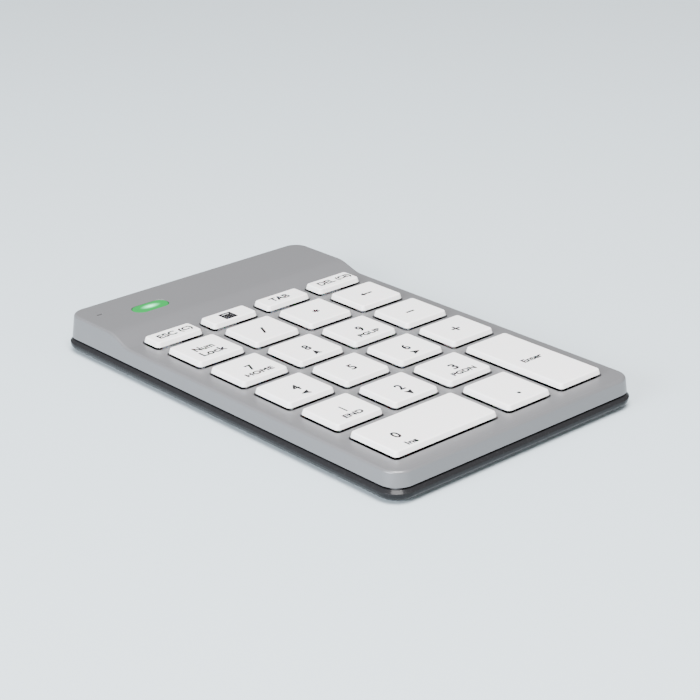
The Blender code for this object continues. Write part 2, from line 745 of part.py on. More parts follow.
def key_shell(name, cx, cy, width, depth):
    bm = bmesh.new()
    bmesh.ops.create_cube(bm, size=1.0)
    bmesh.ops.scale(bm, vec=(width * MM, depth * MM, (Z_KEY - Z_SKIRT) * MM), verts=bm.verts)
    bmesh.ops.translate(bm, vec=(0, 0, (Z_KEY + Z_SKIRT) / 2 * MM), verts=bm.verts)
    floor = min(bm.faces, key=lambda face: face.calc_center_median().z)
    bmesh.ops.delete(bm, geom=[floor], context="FACES_ONLY")
    uprights = [edge for edge in bm.edges if abs(edge.verts[0].co.z - edge.verts[1].co.z) > 1e-5]
    bmesh.ops.bevel(bm, geom=uprights, offset=(OPENING_RADIUS - KEY_GAP / 2) * MM, segments=2,
                    profile=0.5, affect="EDGES")
    middle = (Z_KEY + Z_SKIRT) / 2 * MM
    for vertex in bm.verts:
        if vertex.co.z > middle:
            vertex.co.x *= 1 - 2 * KEY_TAPER / width
            vertex.co.y *= 1 - 2 * KEY_TAPER / depth
    top = [edge for edge in bm.edges if all(v.co.z > middle for v in edge.verts)]
    bmesh.ops.bevel(bm, geom=top, offset=KEY_EDGE * MM, segments=1, profile=0.5, affect="EDGES")
    bmesh.ops.translate(bm, vec=(cx * MM, cy * MM, 0), verts=bm.verts)
    shell = object_from_bmesh(bm, name)
    wall = shell.modifiers.new("wall", "SOLIDIFY")
    wall.thickness = KEY_WALL * MM
    wall.offset = -1.0
    wall.use_even_offset = True
    apply_modifiers(shell)
    for vertex in shell.data.vertices:
        vertex.co.z = max(vertex.co.z, Z_SKIRT * MM)
    return shell


def apply_modifiers(obj):
    bpy.context.view_layer.update()
    mesh = bpy.data.meshes.new_from_object(obj.evaluated_get(bpy.context.evaluated_depsgraph_get()))
    obj.modifiers.clear()
    obj.data = mesh


def scissor_boxes(name, place, spread, width, depth, z0, z1):
    """Two boxes, one on each side of a key's dome; they lie turned under the tall key."""
    cx, cy = key_centre(place)
    half_width = width / 2
    half_depth = depth / 2
    boxes = []
    for side in (-1, 1):
        if name == "key_enter":
            x, y, dx, dy = cx, cy + side * spread, half_depth, half_width
        else:
            x, y, dx, dy = cx + side * spread, cy, half_width, half_depth
        boxes.append(box("scissor", x - dx, x + dx, y - dy, y + dy, z0, z1))
    return boxes


def clip_depth(place, longest, margin):
    """Length of a clip or slot along the scissor's pivots, shorter in the shallow row."""
    front, back = opening(*place)[2:]
    return min(longest, back - front - margin)


def wire_hangers(name, cx, cy):
    """Hooks under a long cap that carry the stabiliser's long bar and let it slide sideways."""
    low = Z_BAR - WIRE_RADIUS - GAP
    near = WIRE_BAR_OFFSET - WIRE_RADIUS - GAP
    back = near - HANGER_WALL
    end = WIRE_BAR_OFFSET + WIRE_RADIUS
    top = Z_KEY_ROOF + KEY_WALL / 3
    hook = [(back, low - HANGER_WALL), (end, low - HANGER_WALL), (end, low), (near, low),
            (near, top), (back, top)]
    across, along, carry = (cy, cx, "X") if name == "key_0" else (cx, cy, "Y")
    outline = [(across + reach, z) for reach, z in hook]
    hooks = []
    for side in (-1, 1):
        start = along + side * HANGER_SPACING - HANGER_WIDTH / 2
        hooks.append(side_prism("hook", outline, start, start + HANGER_WIDTH, carry))
    return hooks


# ---------------------------------------------------------------- switch stack

def make_switch_plate(material):
    """Steel sheet with hook slots under every key and the stabilisers' tabs."""
    slots = []
    for name, *place in KEYS:
        depth = clip_depth(place, HOOK_SLOT_DEPTH, CLIP_MARGIN)
        slots += scissor_boxes(name, place, HOOK_SLOT_SPREAD, HOOK_SLOT_WIDTH, depth,
                               Z_PLATE - GAP, Z_PLATE_TOP + GAP)
    plate = prism("switch_plate", [stack_outline()], Z_PLATE, Z_PLATE_TOP)
    cut(plate, gather("hook_slots", slots))
    tabs = tab_boxes(0.0, Z_PLATE_TOP - PLATE_THICKNESS / 2, Z_PIVOT + TAB_ROOF)
    fuse(plate, gather("plate_tabs", tabs))
    cut(plate, gather("tab_bores", tab_bores()))
    cut(plate, gather("plate_notches", post_clearances(Z_RIB, Z_MAT, POST_RADIUS + GAP)))
    return finish_part(plate, "switch_plate", material)


def tab_bores():
    """Holes in the tabs along each stabiliser's pivot axis."""
    bores = []
    for name, *place in KEYS:
        if name not in LONG_KEYS:
            continue
        cx, cy = key_centre(place)
        across = WIRE_BAR_OFFSET - WIRE_REACH
        reach = WIRE_HALF_LENGTH + WIRE_STUB + TAB_THICKNESS
        if name == "key_0":
            ends = [(cx - reach, cy + across, Z_PIVOT), (cx + reach, cy + across, Z_PIVOT)]
        else:
            ends = [(cx + across, cy - reach, Z_PIVOT), (cx + across, cy + reach, Z_PIVOT)]
        bores.append(tube("bore", ends, WIRE_RADIUS + GAP))
    return bores


def make_membrane(material):
    """Printed contact sheet whose tail climbs to the board's connector."""
    sheet = prism("membrane", [stack_outline()], Z_MEMBRANE, Z_MEMBRANE_TOP)
    fuse(sheet, membrane_tail())
    cut(sheet, gather("membrane_notches", post_clearances(Z_RIB, Z_MAT_TOP, POST_RADIUS + GAP)))
    cut(sheet, gather("membrane_tab_room", tab_boxes(GAP, Z_PLATE_TOP, Z_MAT)))
    return finish_part(sheet, "membrane", material)


def tail_x():
    return (SOCKET_X + SWITCH_X) / 2


def tail_level():
    return Z_PART + CONNECTOR_HEIGHT / 2


def membrane_tail():
    """Flat strip that leaves the sheet's back edge, climbs and enters the connector."""
    start = BLOCK_BACK + STACK_MARGIN
    bend = start + TAIL_RUN
    end = board_front() + TAIL_ENTRY
    level = tail_level() - MEMBRANE_THICKNESS / 2
    lean = MEMBRANE_THICKNESS / 2
    top = level + MEMBRANE_THICKNESS
    outline = [(start - TAIL_RUN, Z_MEMBRANE), (bend, Z_MEMBRANE), (bend + TAIL_CLIMB, level),
               (end, level), (end, top), (bend + TAIL_CLIMB - lean, top),
               (bend - lean, Z_MEMBRANE_TOP), (start - TAIL_RUN, Z_MEMBRANE_TOP)]
    return side_prism("tail", outline, tail_x() - TAIL_WIDTH / 2, tail_x() + TAIL_WIDTH / 2)


def make_dome_mat(material):
    """Silicone sheet with one hollow dome under each key."""
    sheet = prism("dome_mat", [stack_outline()], Z_MAT, Z_MAT_TOP)
    top = Z_KEY_ROOF - PLUNGER_LENGTH - GAP
    domes = []
    hollows = []
    for name, *place in KEYS:
        cx, cy = key_centre(place)
        domes.append(cone("dome", cx, cy, Z_MAT + MAT_THICKNESS / 2, top, DOME_BASE_RADIUS,
                          DOME_TOP_RADIUS, steps=DOME_STEPS))
        hollows.append(cone("hollow", cx, cy, Z_MAT - GAP, top - 2 * DOME_WALL,
                            DOME_BASE_RADIUS - DOME_WALL, DOME_TOP_RADIUS - DOME_WALL, steps=DOME_STEPS))
    fuse(sheet, gather("mat_domes", domes))
    cut(sheet, gather("mat_hollows", hollows))
    cut(sheet, gather("mat_notches", post_clearances(Z_RIB, Z_DECK, POST_RADIUS + GAP)))
    cut(sheet, gather("mat_tab_room", tab_boxes(GAP, Z_MEMBRANE, Z_DECK)))
    return finish_part(sheet, "dome_mat", material)


def make_stabiliser(name, key_name, place, material):
    """U-shaped wire whose stub ends turn in the plate's tabs and whose bar hangs in the cap."""
    cx, cy = key_centre(place)
    bar = WIRE_BAR_OFFSET
    pivot = bar - WIRE_REACH
    half = WIRE_HALF_LENGTH
    route = [(-half - WIRE_STUB, pivot, Z_PIVOT), (-half, pivot, Z_PIVOT), (-half, bar, Z_BAR),
             (half, bar, Z_BAR), (half, pivot, Z_PIVOT), (half + WIRE_STUB, pivot, Z_PIVOT)]
    if key_name == "key_0":
        points = [(cx + along, cy + across, z) for along, across, z in route]
    else:
        points = [(cx + across, cy + along, z) for along, across, z in route]
    return finish_part(tube(name, points, WIRE_RADIUS), name, material)


# ---------------------------------------------------------------- electronics

def board_front():
    return BLOCK_BACK + BOARD_FRONT


def make_board(material):
    back = BACK - BOARD_SETBACK
    outline = rect(BOARD_LEFT, BOARD_RIGHT, board_front(), back)
    board = prism("circuit_board", [outline], Z_BOARD, Z_BOARD_TOP)
    cut(board, gather("board_notches", post_clearances(Z_RIB, Z_HUMP_ROOF, POST_RADIUS + GAP)))
    return finish_part(board, "circuit_board", material)


def make_socket(material):
    """Oval metal shell with a tongue, open at the back of the keypad."""
    mouth = BACK - SOCKET_RECESS
    near = mouth - SOCKET_DEPTH
    shell = upright_slot(SOCKET_X, Z_SOCKET, SOCKET_WIDTH, SOCKET_HEIGHT, near, mouth)
    inner_width = SOCKET_WIDTH - 2 * SOCKET_WALL
    inner_height = SOCKET_HEIGHT - 2 * SOCKET_WALL
    cut(shell, upright_slot(SOCKET_X, Z_SOCKET, inner_width, inner_height,
                            near + SOCKET_BACK_WALL, mouth + GAP))
    half = SOCKET_WIDTH / 2 - TONGUE_SIDE_ROOM
    tongue = box("tongue", SOCKET_X - half, SOCKET_X + half, near + SOCKET_BACK_WALL / 2,
                 mouth - TONGUE_RECESS, Z_SOCKET - SOCKET_TONGUE / 2, Z_SOCKET + SOCKET_TONGUE / 2)
    fuse(shell, tongue)
    return finish_part(shell, "usb_socket", material)


def make_power_switch(material):
    """Switch housing on the board, with a groove for its slider."""
    back = BACK - BOARD_SETBACK
    front = back - SWITCH_DEPTH
    x = SWITCH_X - KNOB_TRAVEL / 2
    housing = box("power_switch", x - SWITCH_LENGTH / 2, x + SWITCH_LENGTH / 2, front, back,
                  Z_PART, Z_PART + SWITCH_HEIGHT)
    half = SWITCH_LENGTH / 2 - SWITCH_WALL
    cut(housing, box("groove", x - half, x + half, front + 2 * SWITCH_WALL, back + GAP,
                     Z_PART + SWITCH_WALL, Z_PART + SWITCH_HEIGHT - SWITCH_WALL))
    return finish_part(housing, "power_switch", material)


def make_power_knob(material):
    """Slider with a stem through the back wall."""
    groove_front = BACK - BOARD_SETBACK - SWITCH_DEPTH + 2 * SWITCH_WALL
    level = knob_level()
    half = KNOB_BASE / 2
    base = box("power_knob", SWITCH_X - half, SWITCH_X + half, groove_front + GAP,
               groove_front + GAP + KNOB_DEPTH, level - KNOB_HEIGHT / 2, level + KNOB_HEIGHT / 2)
    stem = KNOB_STEM / 2
    height = KNOB_HEIGHT * KNOB_STEM_SHARE / 2
    fuse(base, box("stem", SWITCH_X - stem, SWITCH_X + stem, groove_front + 2 * GAP,
                   BACK + KNOB_PROUD, level - height, level + height))
    return finish_part(base, "power_knob", material)


def make_battery(material, pad_material):
    """Foil pouch on a sticky foam pad."""
    front = BLOCK_BACK + BATTERY_FRONT
    back = BACK - BATTERY_BACK
    middle_x = (BATTERY_LEFT + BATTERY_RIGHT) / 2
    middle_y = (front + back) / 2
    outline = rounded_rect(middle_x, middle_y, BATTERY_LENGTH, back - front, BATTERY_RADIUS)
    pouch = prism("battery", [outline], Z_BATTERY, Z_BATTERY + BATTERY_HEIGHT)
    bevel_angle(pouch, BATTERY_EDGE, 1, 60)
    half_x = BATTERY_LENGTH / 2 - PAD_INSET
    half_y = (back - front) / 2 - PAD_INSET
    pad = box("battery_pad", middle_x - half_x, middle_x + half_x, middle_y - half_y, middle_y + half_y,
              Z_FLOOR + GAP, Z_BATTERY - GAP)
    return [finish_part(pouch, "battery", material), finish_part(pad, "battery_pad", pad_material)]


def battery_connector_y():
    return board_front() + CONNECTOR_DEPTH


def make_leads(materials):
    """Two insulated leads from the battery's edge to its connector."""
    leads = []
    high = Z_BATTERY + BATTERY_HEIGHT * LEAD_LEVEL_SHARE
    start = BATTERY_LEFT - GAP
    bend = start - LEAD_RUN
    middle = battery_connector_y()
    level = Z_PART + PLUG_HEIGHT / 2
    end = BOARD_RIGHT - PLUG_INSET + GAP
    for side, (name, material) in zip((-1, 1), materials):
        y = middle + side * LEAD_SPACING / 2
        points = [(start, y, high), (bend, y, high), (bend - LEAD_DROP, y, level), (end, y, level)]
        leads.append(finish_part(tube(name, points, LEAD_RADIUS), name, material))
    return leads


def board_part(name, x, y, width, depth, height, material):
    """A square-cut component soldered to the board, centred at x and y."""
    block = box(name, x - width / 2, x + width / 2, y - depth / 2, y + depth / 2,
                Z_PART, Z_PART + height)
    return finish_part(block, name, material)


def make_board_parts(black, white, steel):
    """Controller, its crystal and aerial, the battery's plug and the two lamps."""
    window_y = BACK - WINDOW_BACK
    slot_y = BACK - SLOT_BACK
    clear_front = board_front() + CONNECTOR_DEPTH + GAP
    clear_back = BACK - SOCKET_RECESS - SOCKET_DEPTH - GAP
    chip_x = (WINDOW_X + WINDOW_LENGTH / 2 + SOCKET_X) / 2
    chip_y = (clear_front + clear_back) / 2
    board_part("controller_chip", chip_x, chip_y, CHIP_SIZE, CHIP_SIZE * CHIP_SHAPE, CHIP_HEIGHT, black)
    crystal_x = chip_x + CHIP_SIZE / 2 + CRYSTAL_WIDTH
    board_part("crystal", crystal_x, chip_y, CRYSTAL_WIDTH, CRYSTAL_LENGTH, CHIP_HEIGHT, steel)
    aerial_x = BOARD_LEFT + BOARD_SIDE + ANTENNA_LENGTH / 2
    board_part("antenna", aerial_x, board_front() + ANTENNA_WIDTH, ANTENNA_LENGTH, ANTENNA_WIDTH,
               CHIP_HEIGHT, white)
    plug_x = BOARD_RIGHT - PLUG_INSET - PLUG_SIZE / 2
    board_part("battery_connector", plug_x, battery_connector_y(), PLUG_SIZE, PLUG_SIZE,
               PLUG_HEIGHT, white)
    board_part("window_lamp", WINDOW_X, window_y, LED_SIZE, LED_SIZE, LED_HEIGHT, white)
    board_part("status_lamp", SLOT_X, slot_y, LED_SIZE, LED_SIZE / 2, LED_HEIGHT, white)


def make_light_guides(clear):
    """Clear blocks that carry each lamp's light up to its opening in the hump."""
    low = Z_PART + LED_HEIGHT + GAP
    window_y = BACK - WINDOW_BACK
    slot_y = BACK - SLOT_BACK
    diffuser = box("window_diffuser", WINDOW_X - DIFFUSER_LENGTH / 2, WINDOW_X + DIFFUSER_LENGTH / 2,
                   window_y - DIFFUSER_WIDTH / 2, window_y + DIFFUSER_WIDTH / 2, low,
                   Z_HUMP_ROOF - 2 * GAP - FLANGE_THICKNESS)
    finish_part(diffuser, "window_diffuser", clear)
    guide = box("status_light_guide", SLOT_X - LENS_WIDTH / 2, SLOT_X + LENS_WIDTH / 2,
                slot_y - LENS_WIDTH / 4, slot_y + LENS_WIDTH / 4, low, Z_HUMP_ROOF - GAP)
    finish_part(guide, "status_light_guide", clear)


def make_tail_connector(material):
    """Slotted connector that takes the membrane's tail."""
    front = board_front() + CONNECTOR_SETBACK
    half = TAIL_WIDTH / 2 + CONNECTOR_CHEEK
    body = box("ribbon_connector", tail_x() - half, tail_x() + half, front, front + CONNECTOR_DEPTH,
               Z_PART, Z_PART + CONNECTOR_HEIGHT)
    level = tail_level()
    slot_half = TAIL_WIDTH / 2 + GAP
    cut(body, box("slot", tail_x() - slot_half, tail_x() + slot_half, front - GAP,
                  front + CONNECTOR_SLOT_DEPTH, level - CONNECTOR_SLOT / 2, level + CONNECTOR_SLOT / 2))
    return finish_part(body, "ribbon_connector", material)


def make_light_window(material):
    """Pill-shaped lens flush with the hump, held by a flange under the cover."""
    y = BACK - WINDOW_BACK
    length = WINDOW_LENGTH - 2 * WINDOW_GAP
    width = WINDOW_WIDTH - 2 * WINDOW_GAP
    plug = prism("light_window", [pill(WINDOW_X, y, length, width, 6)],
                 Z_HUMP_ROOF - GAP - FLANGE_THICKNESS / 2, Z_HUMP)
    flange = rounded_rect(WINDOW_X, y, WINDOW_LENGTH + 2 * WINDOW_FLANGE,
                          WINDOW_WIDTH + 2 * WINDOW_FLANGE, WINDOW_WIDTH / 2, 4)
    fuse(plug, prism("flange", [flange], Z_HUMP_ROOF - GAP - FLANGE_THICKNESS, Z_HUMP_ROOF - GAP))
    return finish_part(plug, "light_window", material)


# ---------------------------------------------------------------- assembly

def build_keypad():
    satin = make_material("satin_silver", (0.40, 0.40, 0.42), 0.38, 0.35)
    gloss = make_material("gloss_black", (0.02, 0.02, 0.022), 0.12)
    cap = make_material("key_white", (0.78, 0.78, 0.77), 0.45)
    rubber = make_material("foot_rubber", (0.03, 0.03, 0.03), 0.85)
    steel = make_material("plain_steel", (0.55, 0.55, 0.56), 0.35, 1.0)
    film = make_material("contact_film", (0.55, 0.60, 0.58), 0.35)
    silicone = make_material("milky_silicone", (0.75, 0.76, 0.78), 0.55)
    green = make_material("board_green", (0.02, 0.16, 0.07), 0.45)
    foil = make_material("battery_foil", (0.50, 0.50, 0.52), 0.35, 0.8)
    black = make_material("part_black", (0.03, 0.03, 0.03), 0.5)
    white = make_material("part_white", (0.80, 0.78, 0.70), 0.5)
    clear = make_material("light_guide", (0.80, 0.88, 0.84), 0.15)
    lit = make_material("lit_window", (0.20, 0.85, 0.50), 0.25)
    red = make_material("lead_red", (0.55, 0.03, 0.02), 0.5)

    make_top_cover(satin)
    make_bottom_tray(gloss)
    make_feet(rubber)
    make_screws(steel)
    make_switch_plate(steel)
    make_membrane(film)
    make_dome_mat(silicone)
    for name, *place in KEYS:
        make_key(name, place, cap)
    places = {name: place for name, *place in KEYS}
    make_stabiliser("stabiliser_0", "key_0", places["key_0"], steel)
    make_stabiliser("stabiliser_enter", "key_enter", places["key_enter"], steel)
    make_board(green)
    make_socket(steel)
    make_power_switch(black)
    make_power_knob(black)
    make_battery(foil, rubber)
    make_leads((("battery_lead_black", black), ("battery_lead_red", red)))
    make_tail_connector(white)
    make_board_parts(black, white, steel)
    make_light_guides(clear)
    make_light_window(lit)


clear_scene()
PARTS = make_collection("numeric_keypad")
CUTTERS = make_collection("cutters")
build_keypad()
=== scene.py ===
"""Looks of a wireless numeric keypad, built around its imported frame.

Lengths are in millimetres until they reach a mesh. +X is right, +Y is away from the user and
+Z is up; the origin is the middle of the footprint on the table.
"""

import math

import bmesh
import bpy
from mathutils import Matrix, Quaternion, Vector


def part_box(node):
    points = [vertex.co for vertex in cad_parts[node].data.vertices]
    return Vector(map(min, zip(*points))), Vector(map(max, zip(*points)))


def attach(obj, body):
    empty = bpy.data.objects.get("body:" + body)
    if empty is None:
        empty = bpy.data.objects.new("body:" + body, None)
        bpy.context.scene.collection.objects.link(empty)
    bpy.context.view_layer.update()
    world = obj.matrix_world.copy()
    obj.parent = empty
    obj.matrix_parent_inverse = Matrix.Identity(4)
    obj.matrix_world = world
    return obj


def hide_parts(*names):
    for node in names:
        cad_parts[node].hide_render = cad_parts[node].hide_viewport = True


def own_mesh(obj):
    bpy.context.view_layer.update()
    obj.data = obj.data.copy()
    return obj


bl_info = {
    "name": "Numeric Keypad",
    "version": (1, 0, 0),
    "blender": (4, 5, 0),
    "location": "3D View > Sidebar > Keypad",
    "description": "Builds the surfaces of a wireless numeric keypad around its frame",
    "category": "Add Mesh",
}

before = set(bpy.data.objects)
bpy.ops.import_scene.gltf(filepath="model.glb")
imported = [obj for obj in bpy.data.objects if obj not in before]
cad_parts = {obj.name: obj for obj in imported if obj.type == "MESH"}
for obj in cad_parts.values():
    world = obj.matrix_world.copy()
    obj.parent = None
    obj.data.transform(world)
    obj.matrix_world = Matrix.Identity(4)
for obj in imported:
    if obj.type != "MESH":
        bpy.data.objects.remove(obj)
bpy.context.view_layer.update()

MM = 0.001


def span(node):
    """Lowest and highest corner of a frame node, in millimetres."""
    return [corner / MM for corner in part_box(node)]


# Levels and outlines that the frame already fixes
COVER_HIGH = span("top_cover")[1]
TRAY_LOW, TRAY_HIGH = span("bottom_tray")
MAT_LOW, MAT_HIGH = span("dome_mat")
FILM_THICKNESS = 0.25
FILM_TOP = span("membrane")[0].z + FILM_THICKNESS
COVER_WIDTH = 2 * COVER_HIGH.x
COVER_DEPTH = 2 * COVER_HIGH.y
BACK = COVER_HIGH.y
LIP_RISE = 1.2
Z_SEAM = TRAY_HIGH.z - LIP_RISE
Z_HUMP = COVER_HIGH.z
Z_KEY = span("key_5")[1].z
SKIRT_DEPTH = 1.45
Z_SKIRT = Z_KEY - SKIRT_DEPTH
KEY_NAMES = [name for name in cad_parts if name.startswith("key_")]

# Casing
KEY_RAISED = 0.35
KEY_GAP = 0.38
OPENING_RADIUS = 1.4
OPENING_EDGE = 0.08
STRIP = 3.0
CORNER_RADIUS = 5.3
COVER_DRAFT = 0.5
DRAFT_HEIGHT = 4.0
COVER_WALL = 1.2
DECK_THICKNESS = 1.5
HUMP_RISE = 2.35
RAMP_LEAD = 2.2
RAMP_LENGTH = 10.0
GAP = 0.3
Z_DECK = Z_SKIRT - KEY_RAISED
Z_HUMP_ROOF = Z_HUMP - DECK_THICKNESS
BLOCK_BACK = span("key_escape")[1].y + KEY_GAP
RAMP_START = BLOCK_BACK - RAMP_LEAD
END_SLACK = 0.01
SURFACE_CLEAR = 0.001
WINDOW_PLUG = (11.2, 5.0)
WINDOW_GAP = 0.2
WINDOW_FLARE = 0.1
FLANGE_RADIUS = 2.7
LAMP_SLOT = (2.1, 0.6)
LAMP_SLOT_FLARE = 0.06
KNOB_SLOT = (4.4, 1.6)
KNOB_TRAVEL = 2.0

# Tray
RIM_PROUD = 0.65
SEAM_GAP = 0.6
TRAY_RADIUS = CORNER_RADIUS + RIM_PROUD
TRAY_ROUND = 1.9
TRAY_FLOOR = 1.4
LEDGE_INNER = 0.95
LEDGE_DROP = 0.7
LEDGE_ROUND = 0.12
LEDGE_TURN = 60
SEAM_BREAK = (0.1, 0.02)
LIP_INSET = RIM_PROUD + COVER_WALL + GAP
LIP_THICKNESS = 0.8
TRAY_WALL = LIP_INSET + LIP_THICKNESS
Z_UNDER = TRAY_LOW.z
Z_FLOOR = Z_UNDER + TRAY_FLOOR
Z_RIM = Z_SEAM - SEAM_GAP
Z_LIP = TRAY_HIGH.z
RIB_WIDTH = 1.0
Z_RIB = span("switch_plate")[0].z - GAP
RIB_ROWS = ("key_point", "key_3", "key_6", "key_9", "key_multiply")
STANDOFF_SHARES = (0.15, 0.5, 0.9)
STANDOFF_RADIUS = 1.5
FEET = ("foot_front_left", "foot_front_right", "foot_rear_left", "foot_rear_right")
FOOT_RADIUS = 2.3
FOOT_RECESS = 0.6

# Screws, the posts they pass and the bosses they enter
SCREWS = tuple(f"screw_{row}_{side}" for row in ("front", "middle", "rear")
               for side in ("left", "right"))
SCREW_SIZES = {"Head": 1.6, "Head height": 0.6, "Shank": 0.55, "Pitch": 0.55, "Slot": 1.0,
               "Slot width": 0.42, "Slot depth": 0.36}
SCREW_TURNS = {"left": 20.0, "right": 65.0}
SCREW_TIP_ROOM = 0.02
POST_RADIUS = 2.6
POST_ROOT = 0.7
BOSS_RADIUS = 1.7
SHANK_ROOM = 1.0
HEAD_ROOM = 1.9
HEAD_ROOM_DEPTH = 1.4
Z_POST = Z_UNDER + 2.5

# Keys
KEY_WALL = 0.9
KEY_LEAN = 0.45
CAP_RADIUS = 1.2
PLUNGER_RADIUS = 1.7
PLUNGER_LENGTH = 1.0
PLUNGER_TIP_RADIUS = 1.5
INNER_EDGE = 0.2
TOP_BANDS = (0.06, 0.5)
CLIP_LENGTH = 1.1
CLIP_SPREAD = 4.6
CLIP_WIDTH = 0.9
CLIP_DEPTH = 4.0
CLIP_MARGIN = 4.9
Z_KEY_ROOF = Z_KEY - KEY_WALL
WIRE_THICKNESS = 0.8
WIRE_BAR_OFFSET = 4.4
HANGER_WALL = 0.4
HANGER_WIDTH = 2.0
HANGER_SPACING = 8.0
TAB_INSET = 0.5
TAB_ROOM = (1.5, 0.8)

# Switches under the keys
KEY_TRAVEL = 1.8
Z_MAT = MAT_LOW.z
MAT_THICKNESS = 0.3
MAT_RADIUS = 2.0
Z_MAT_TOP = Z_MAT + MAT_THICKNESS
DOME_FOOT = 3.3
DOME_CROWN = 1.9
DOME_WALL = 0.5
DOME_LIFT = 0.01
DOME_SEAT = 0.02
SCISSOR_LENGTH = 9.2
SCISSOR_WIDE = 9.8
SCISSOR_NARROW = 7.7
SCISSOR_BAR = 0.6
SCISSOR_LOW = 0.5
SCISSOR_HIGH = Z_KEY_ROOF - CLIP_LENGTH - GAP - SCISSOR_BAR / 2
SHALLOWEST_SCISSOR = 12.0
INK = 0.02
INK_GAP = 0.003
INK_SPREAD = 0.1
INK_LAYER = 0.002
CONTACT_LIFT = 0.02

# Fineness of round shapes
CORNER_STEPS = 12
KEY_CORNER_STEPS = 7
PILL_STEPS = 8
SLOT_STEPS = 5
WINDOW_STEPS = 14
PLUNGER_STEPS = 20
DOME_STEPS = 40
TRAY_STEPS = 10
LEDGE_STEPS = 3
FLARE_STEPS = 3
EDGE_STEPS = 6
COVER_EDGE_STEPS = 5
RAMP_STEPS = 28
POST_STEPS = 32

# Stage
CAMERA_PLACE = (-323.21, -359.97, 210.75)
CAMERA_AIM = (0.61970326, 0.68261166, -0.3873102)
CAMERA_ROLL = -0.4324
CAMERA_LENS = 102.3
CAMERA_SENSOR = 36.0
FLOOR_HALF = 3.0
LIGHTS = (
    ("overhead", (-0.30, -0.40, 1.10), (0, 0, 0), (0.7, 0.7), 50.0, (1.0, 0.985, 0.985)),
    ("left", (-1.1, -0.15, 0.42), (0, 0, 0.01), (0.7, 0.4), 30.0, (0.90, 0.94, 1.0)),
    ("front", (0.45, -1.2, 0.50), (0, 0, 0.01), (0.8, 0.4), 4.0, (1.0, 0.92, 0.84)),
)
SKY_COLOUR = (0.92, 0.93, 0.95, 1.0)
SKY_STRENGTH = 0.55


# ---------------------------------------------------------------- properties

def length(name, description, default):
    return bpy.props.FloatProperty(name=name, description=description, default=default * MM,
                                   unit="LENGTH", precision=5)


def colour(name, description, default):
    return bpy.props.FloatVectorProperty(name=name, description=description, default=default,
                                         size=3, min=0.0, max=1.0, subtype="COLOR")


def amount(name, description, default):
    return bpy.props.FloatProperty(name=name, description=description, default=default,
                                   min=0.0, max=1.0, subtype="FACTOR")


class KeypadSizes(bpy.types.PropertyGroup):
    """Sizes of the finer shapes that the frame leaves open"""

    cover_edge: length("Cover edge", "Round along the cover's upper edge", 0.7)
    opening_edge: length("Opening edge", "Round along each key opening", OPENING_EDGE)
    key_edge: length("Key edge", "Round along a key's top", 0.5)
    key_rim: length("Key rim", "Round along the foot of a key's skirt", 0.1)
    window_edge: length("Window edge", "Round along the light window's rim", 0.25)


class KeypadColours(bpy.types.PropertyGroup):
    """Colours and finishes of the visible surfaces"""

    cover: colour("Cover", "Satin grey paint", (0.125, 0.126, 0.131))
    cover_roughness: amount("Cover roughness", "Roughness of the satin paint", 0.36)
    tray: colour("Tray", "Polished black of the tray", (0.012, 0.012, 0.013))
    tray_roughness: amount("Tray roughness", "Roughness of the tray", 0.2)
    key: colour("Keys", "White of the key caps", (0.86, 0.85, 0.845))
    key_roughness: amount("Key roughness", "Roughness of the key caps", 0.42)
    ink: colour("Legends", "Near black of the printed legends", (0.006, 0.006, 0.007))
    glow: colour("Light", "Colour of the lit window", (0.0, 0.34, 0.05))
    floor: colour("Floor", "Pale floor", (0.52, 0.60, 0.64))


# ---------------------------------------------------------------- node trees

class Value:
    """One socket of a node tree; arithmetic on it adds Math nodes."""

    def __init__(self, tree, socket):
        self.tree = tree
        self.socket = socket

    def math(self, operation, *others):
        return self.tree.math(operation, self, *others)

    def __add__(self, other):
        return self.math("ADD", other)

    __radd__ = __add__

    def __sub__(self, other):
        return self.math("SUBTRACT", other)

    def __rsub__(self, other):
        return self.tree.math("SUBTRACT", other, self)

    def __mul__(self, other):
        return self.math("MULTIPLY", other)

    def __truediv__(self, other):
        return self.math("DIVIDE", other)

    def __pow__(self, other):
        return self.math("POWER", other)

    def clamp(self):
        return self.math("MINIMUM", 1.0).math("MAXIMUM", 0.0)


class Tree:
    """A shader or geometry node tree under construction."""

    def __init__(self, data):
        self.data = data

    def make(self, kind, settings=None, inputs=None, output=0):
        """Add a node: its type, its settings, then what its sockets hold or are linked to."""
        node = self.data.nodes.new(kind)
        for key, setting in (settings or {}).items():
            setattr(node, key, setting)
        for key, item in (inputs or {}).items():
            for value in item if isinstance(item, list) else [item]:
                if isinstance(value, Value):
                    self.data.links.new(value.socket, node.inputs[key])
                else:
                    node.inputs[key].default_value = value
        return Value(self, node.outputs[output]) if node.outputs else None

    def math(self, operation, *values):
        return self.make("ShaderNodeMath", {"operation": operation}, dict(enumerate(values)))

    def mix(self, share, first, second):
        """Blend of two colours by a value."""
        pair = {name: item if isinstance(item, Value) else (*item, 1.0)
                for name, item in (("A", first), ("B", second))}
        node = self.data.nodes.new("ShaderNodeMix")
        node.data_type = "RGBA"
        sockets = {socket.name: socket for socket in node.inputs if socket.type == "RGBA"}
        for name, item in pair.items():
            if isinstance(item, Value):
                self.data.links.new(item.socket, sockets[name])
            else:
                sockets[name].default_value = item
        self.data.links.new(share.socket, node.inputs[0])
        return Value(self, next(out for out in node.outputs if out.type == "RGBA"))


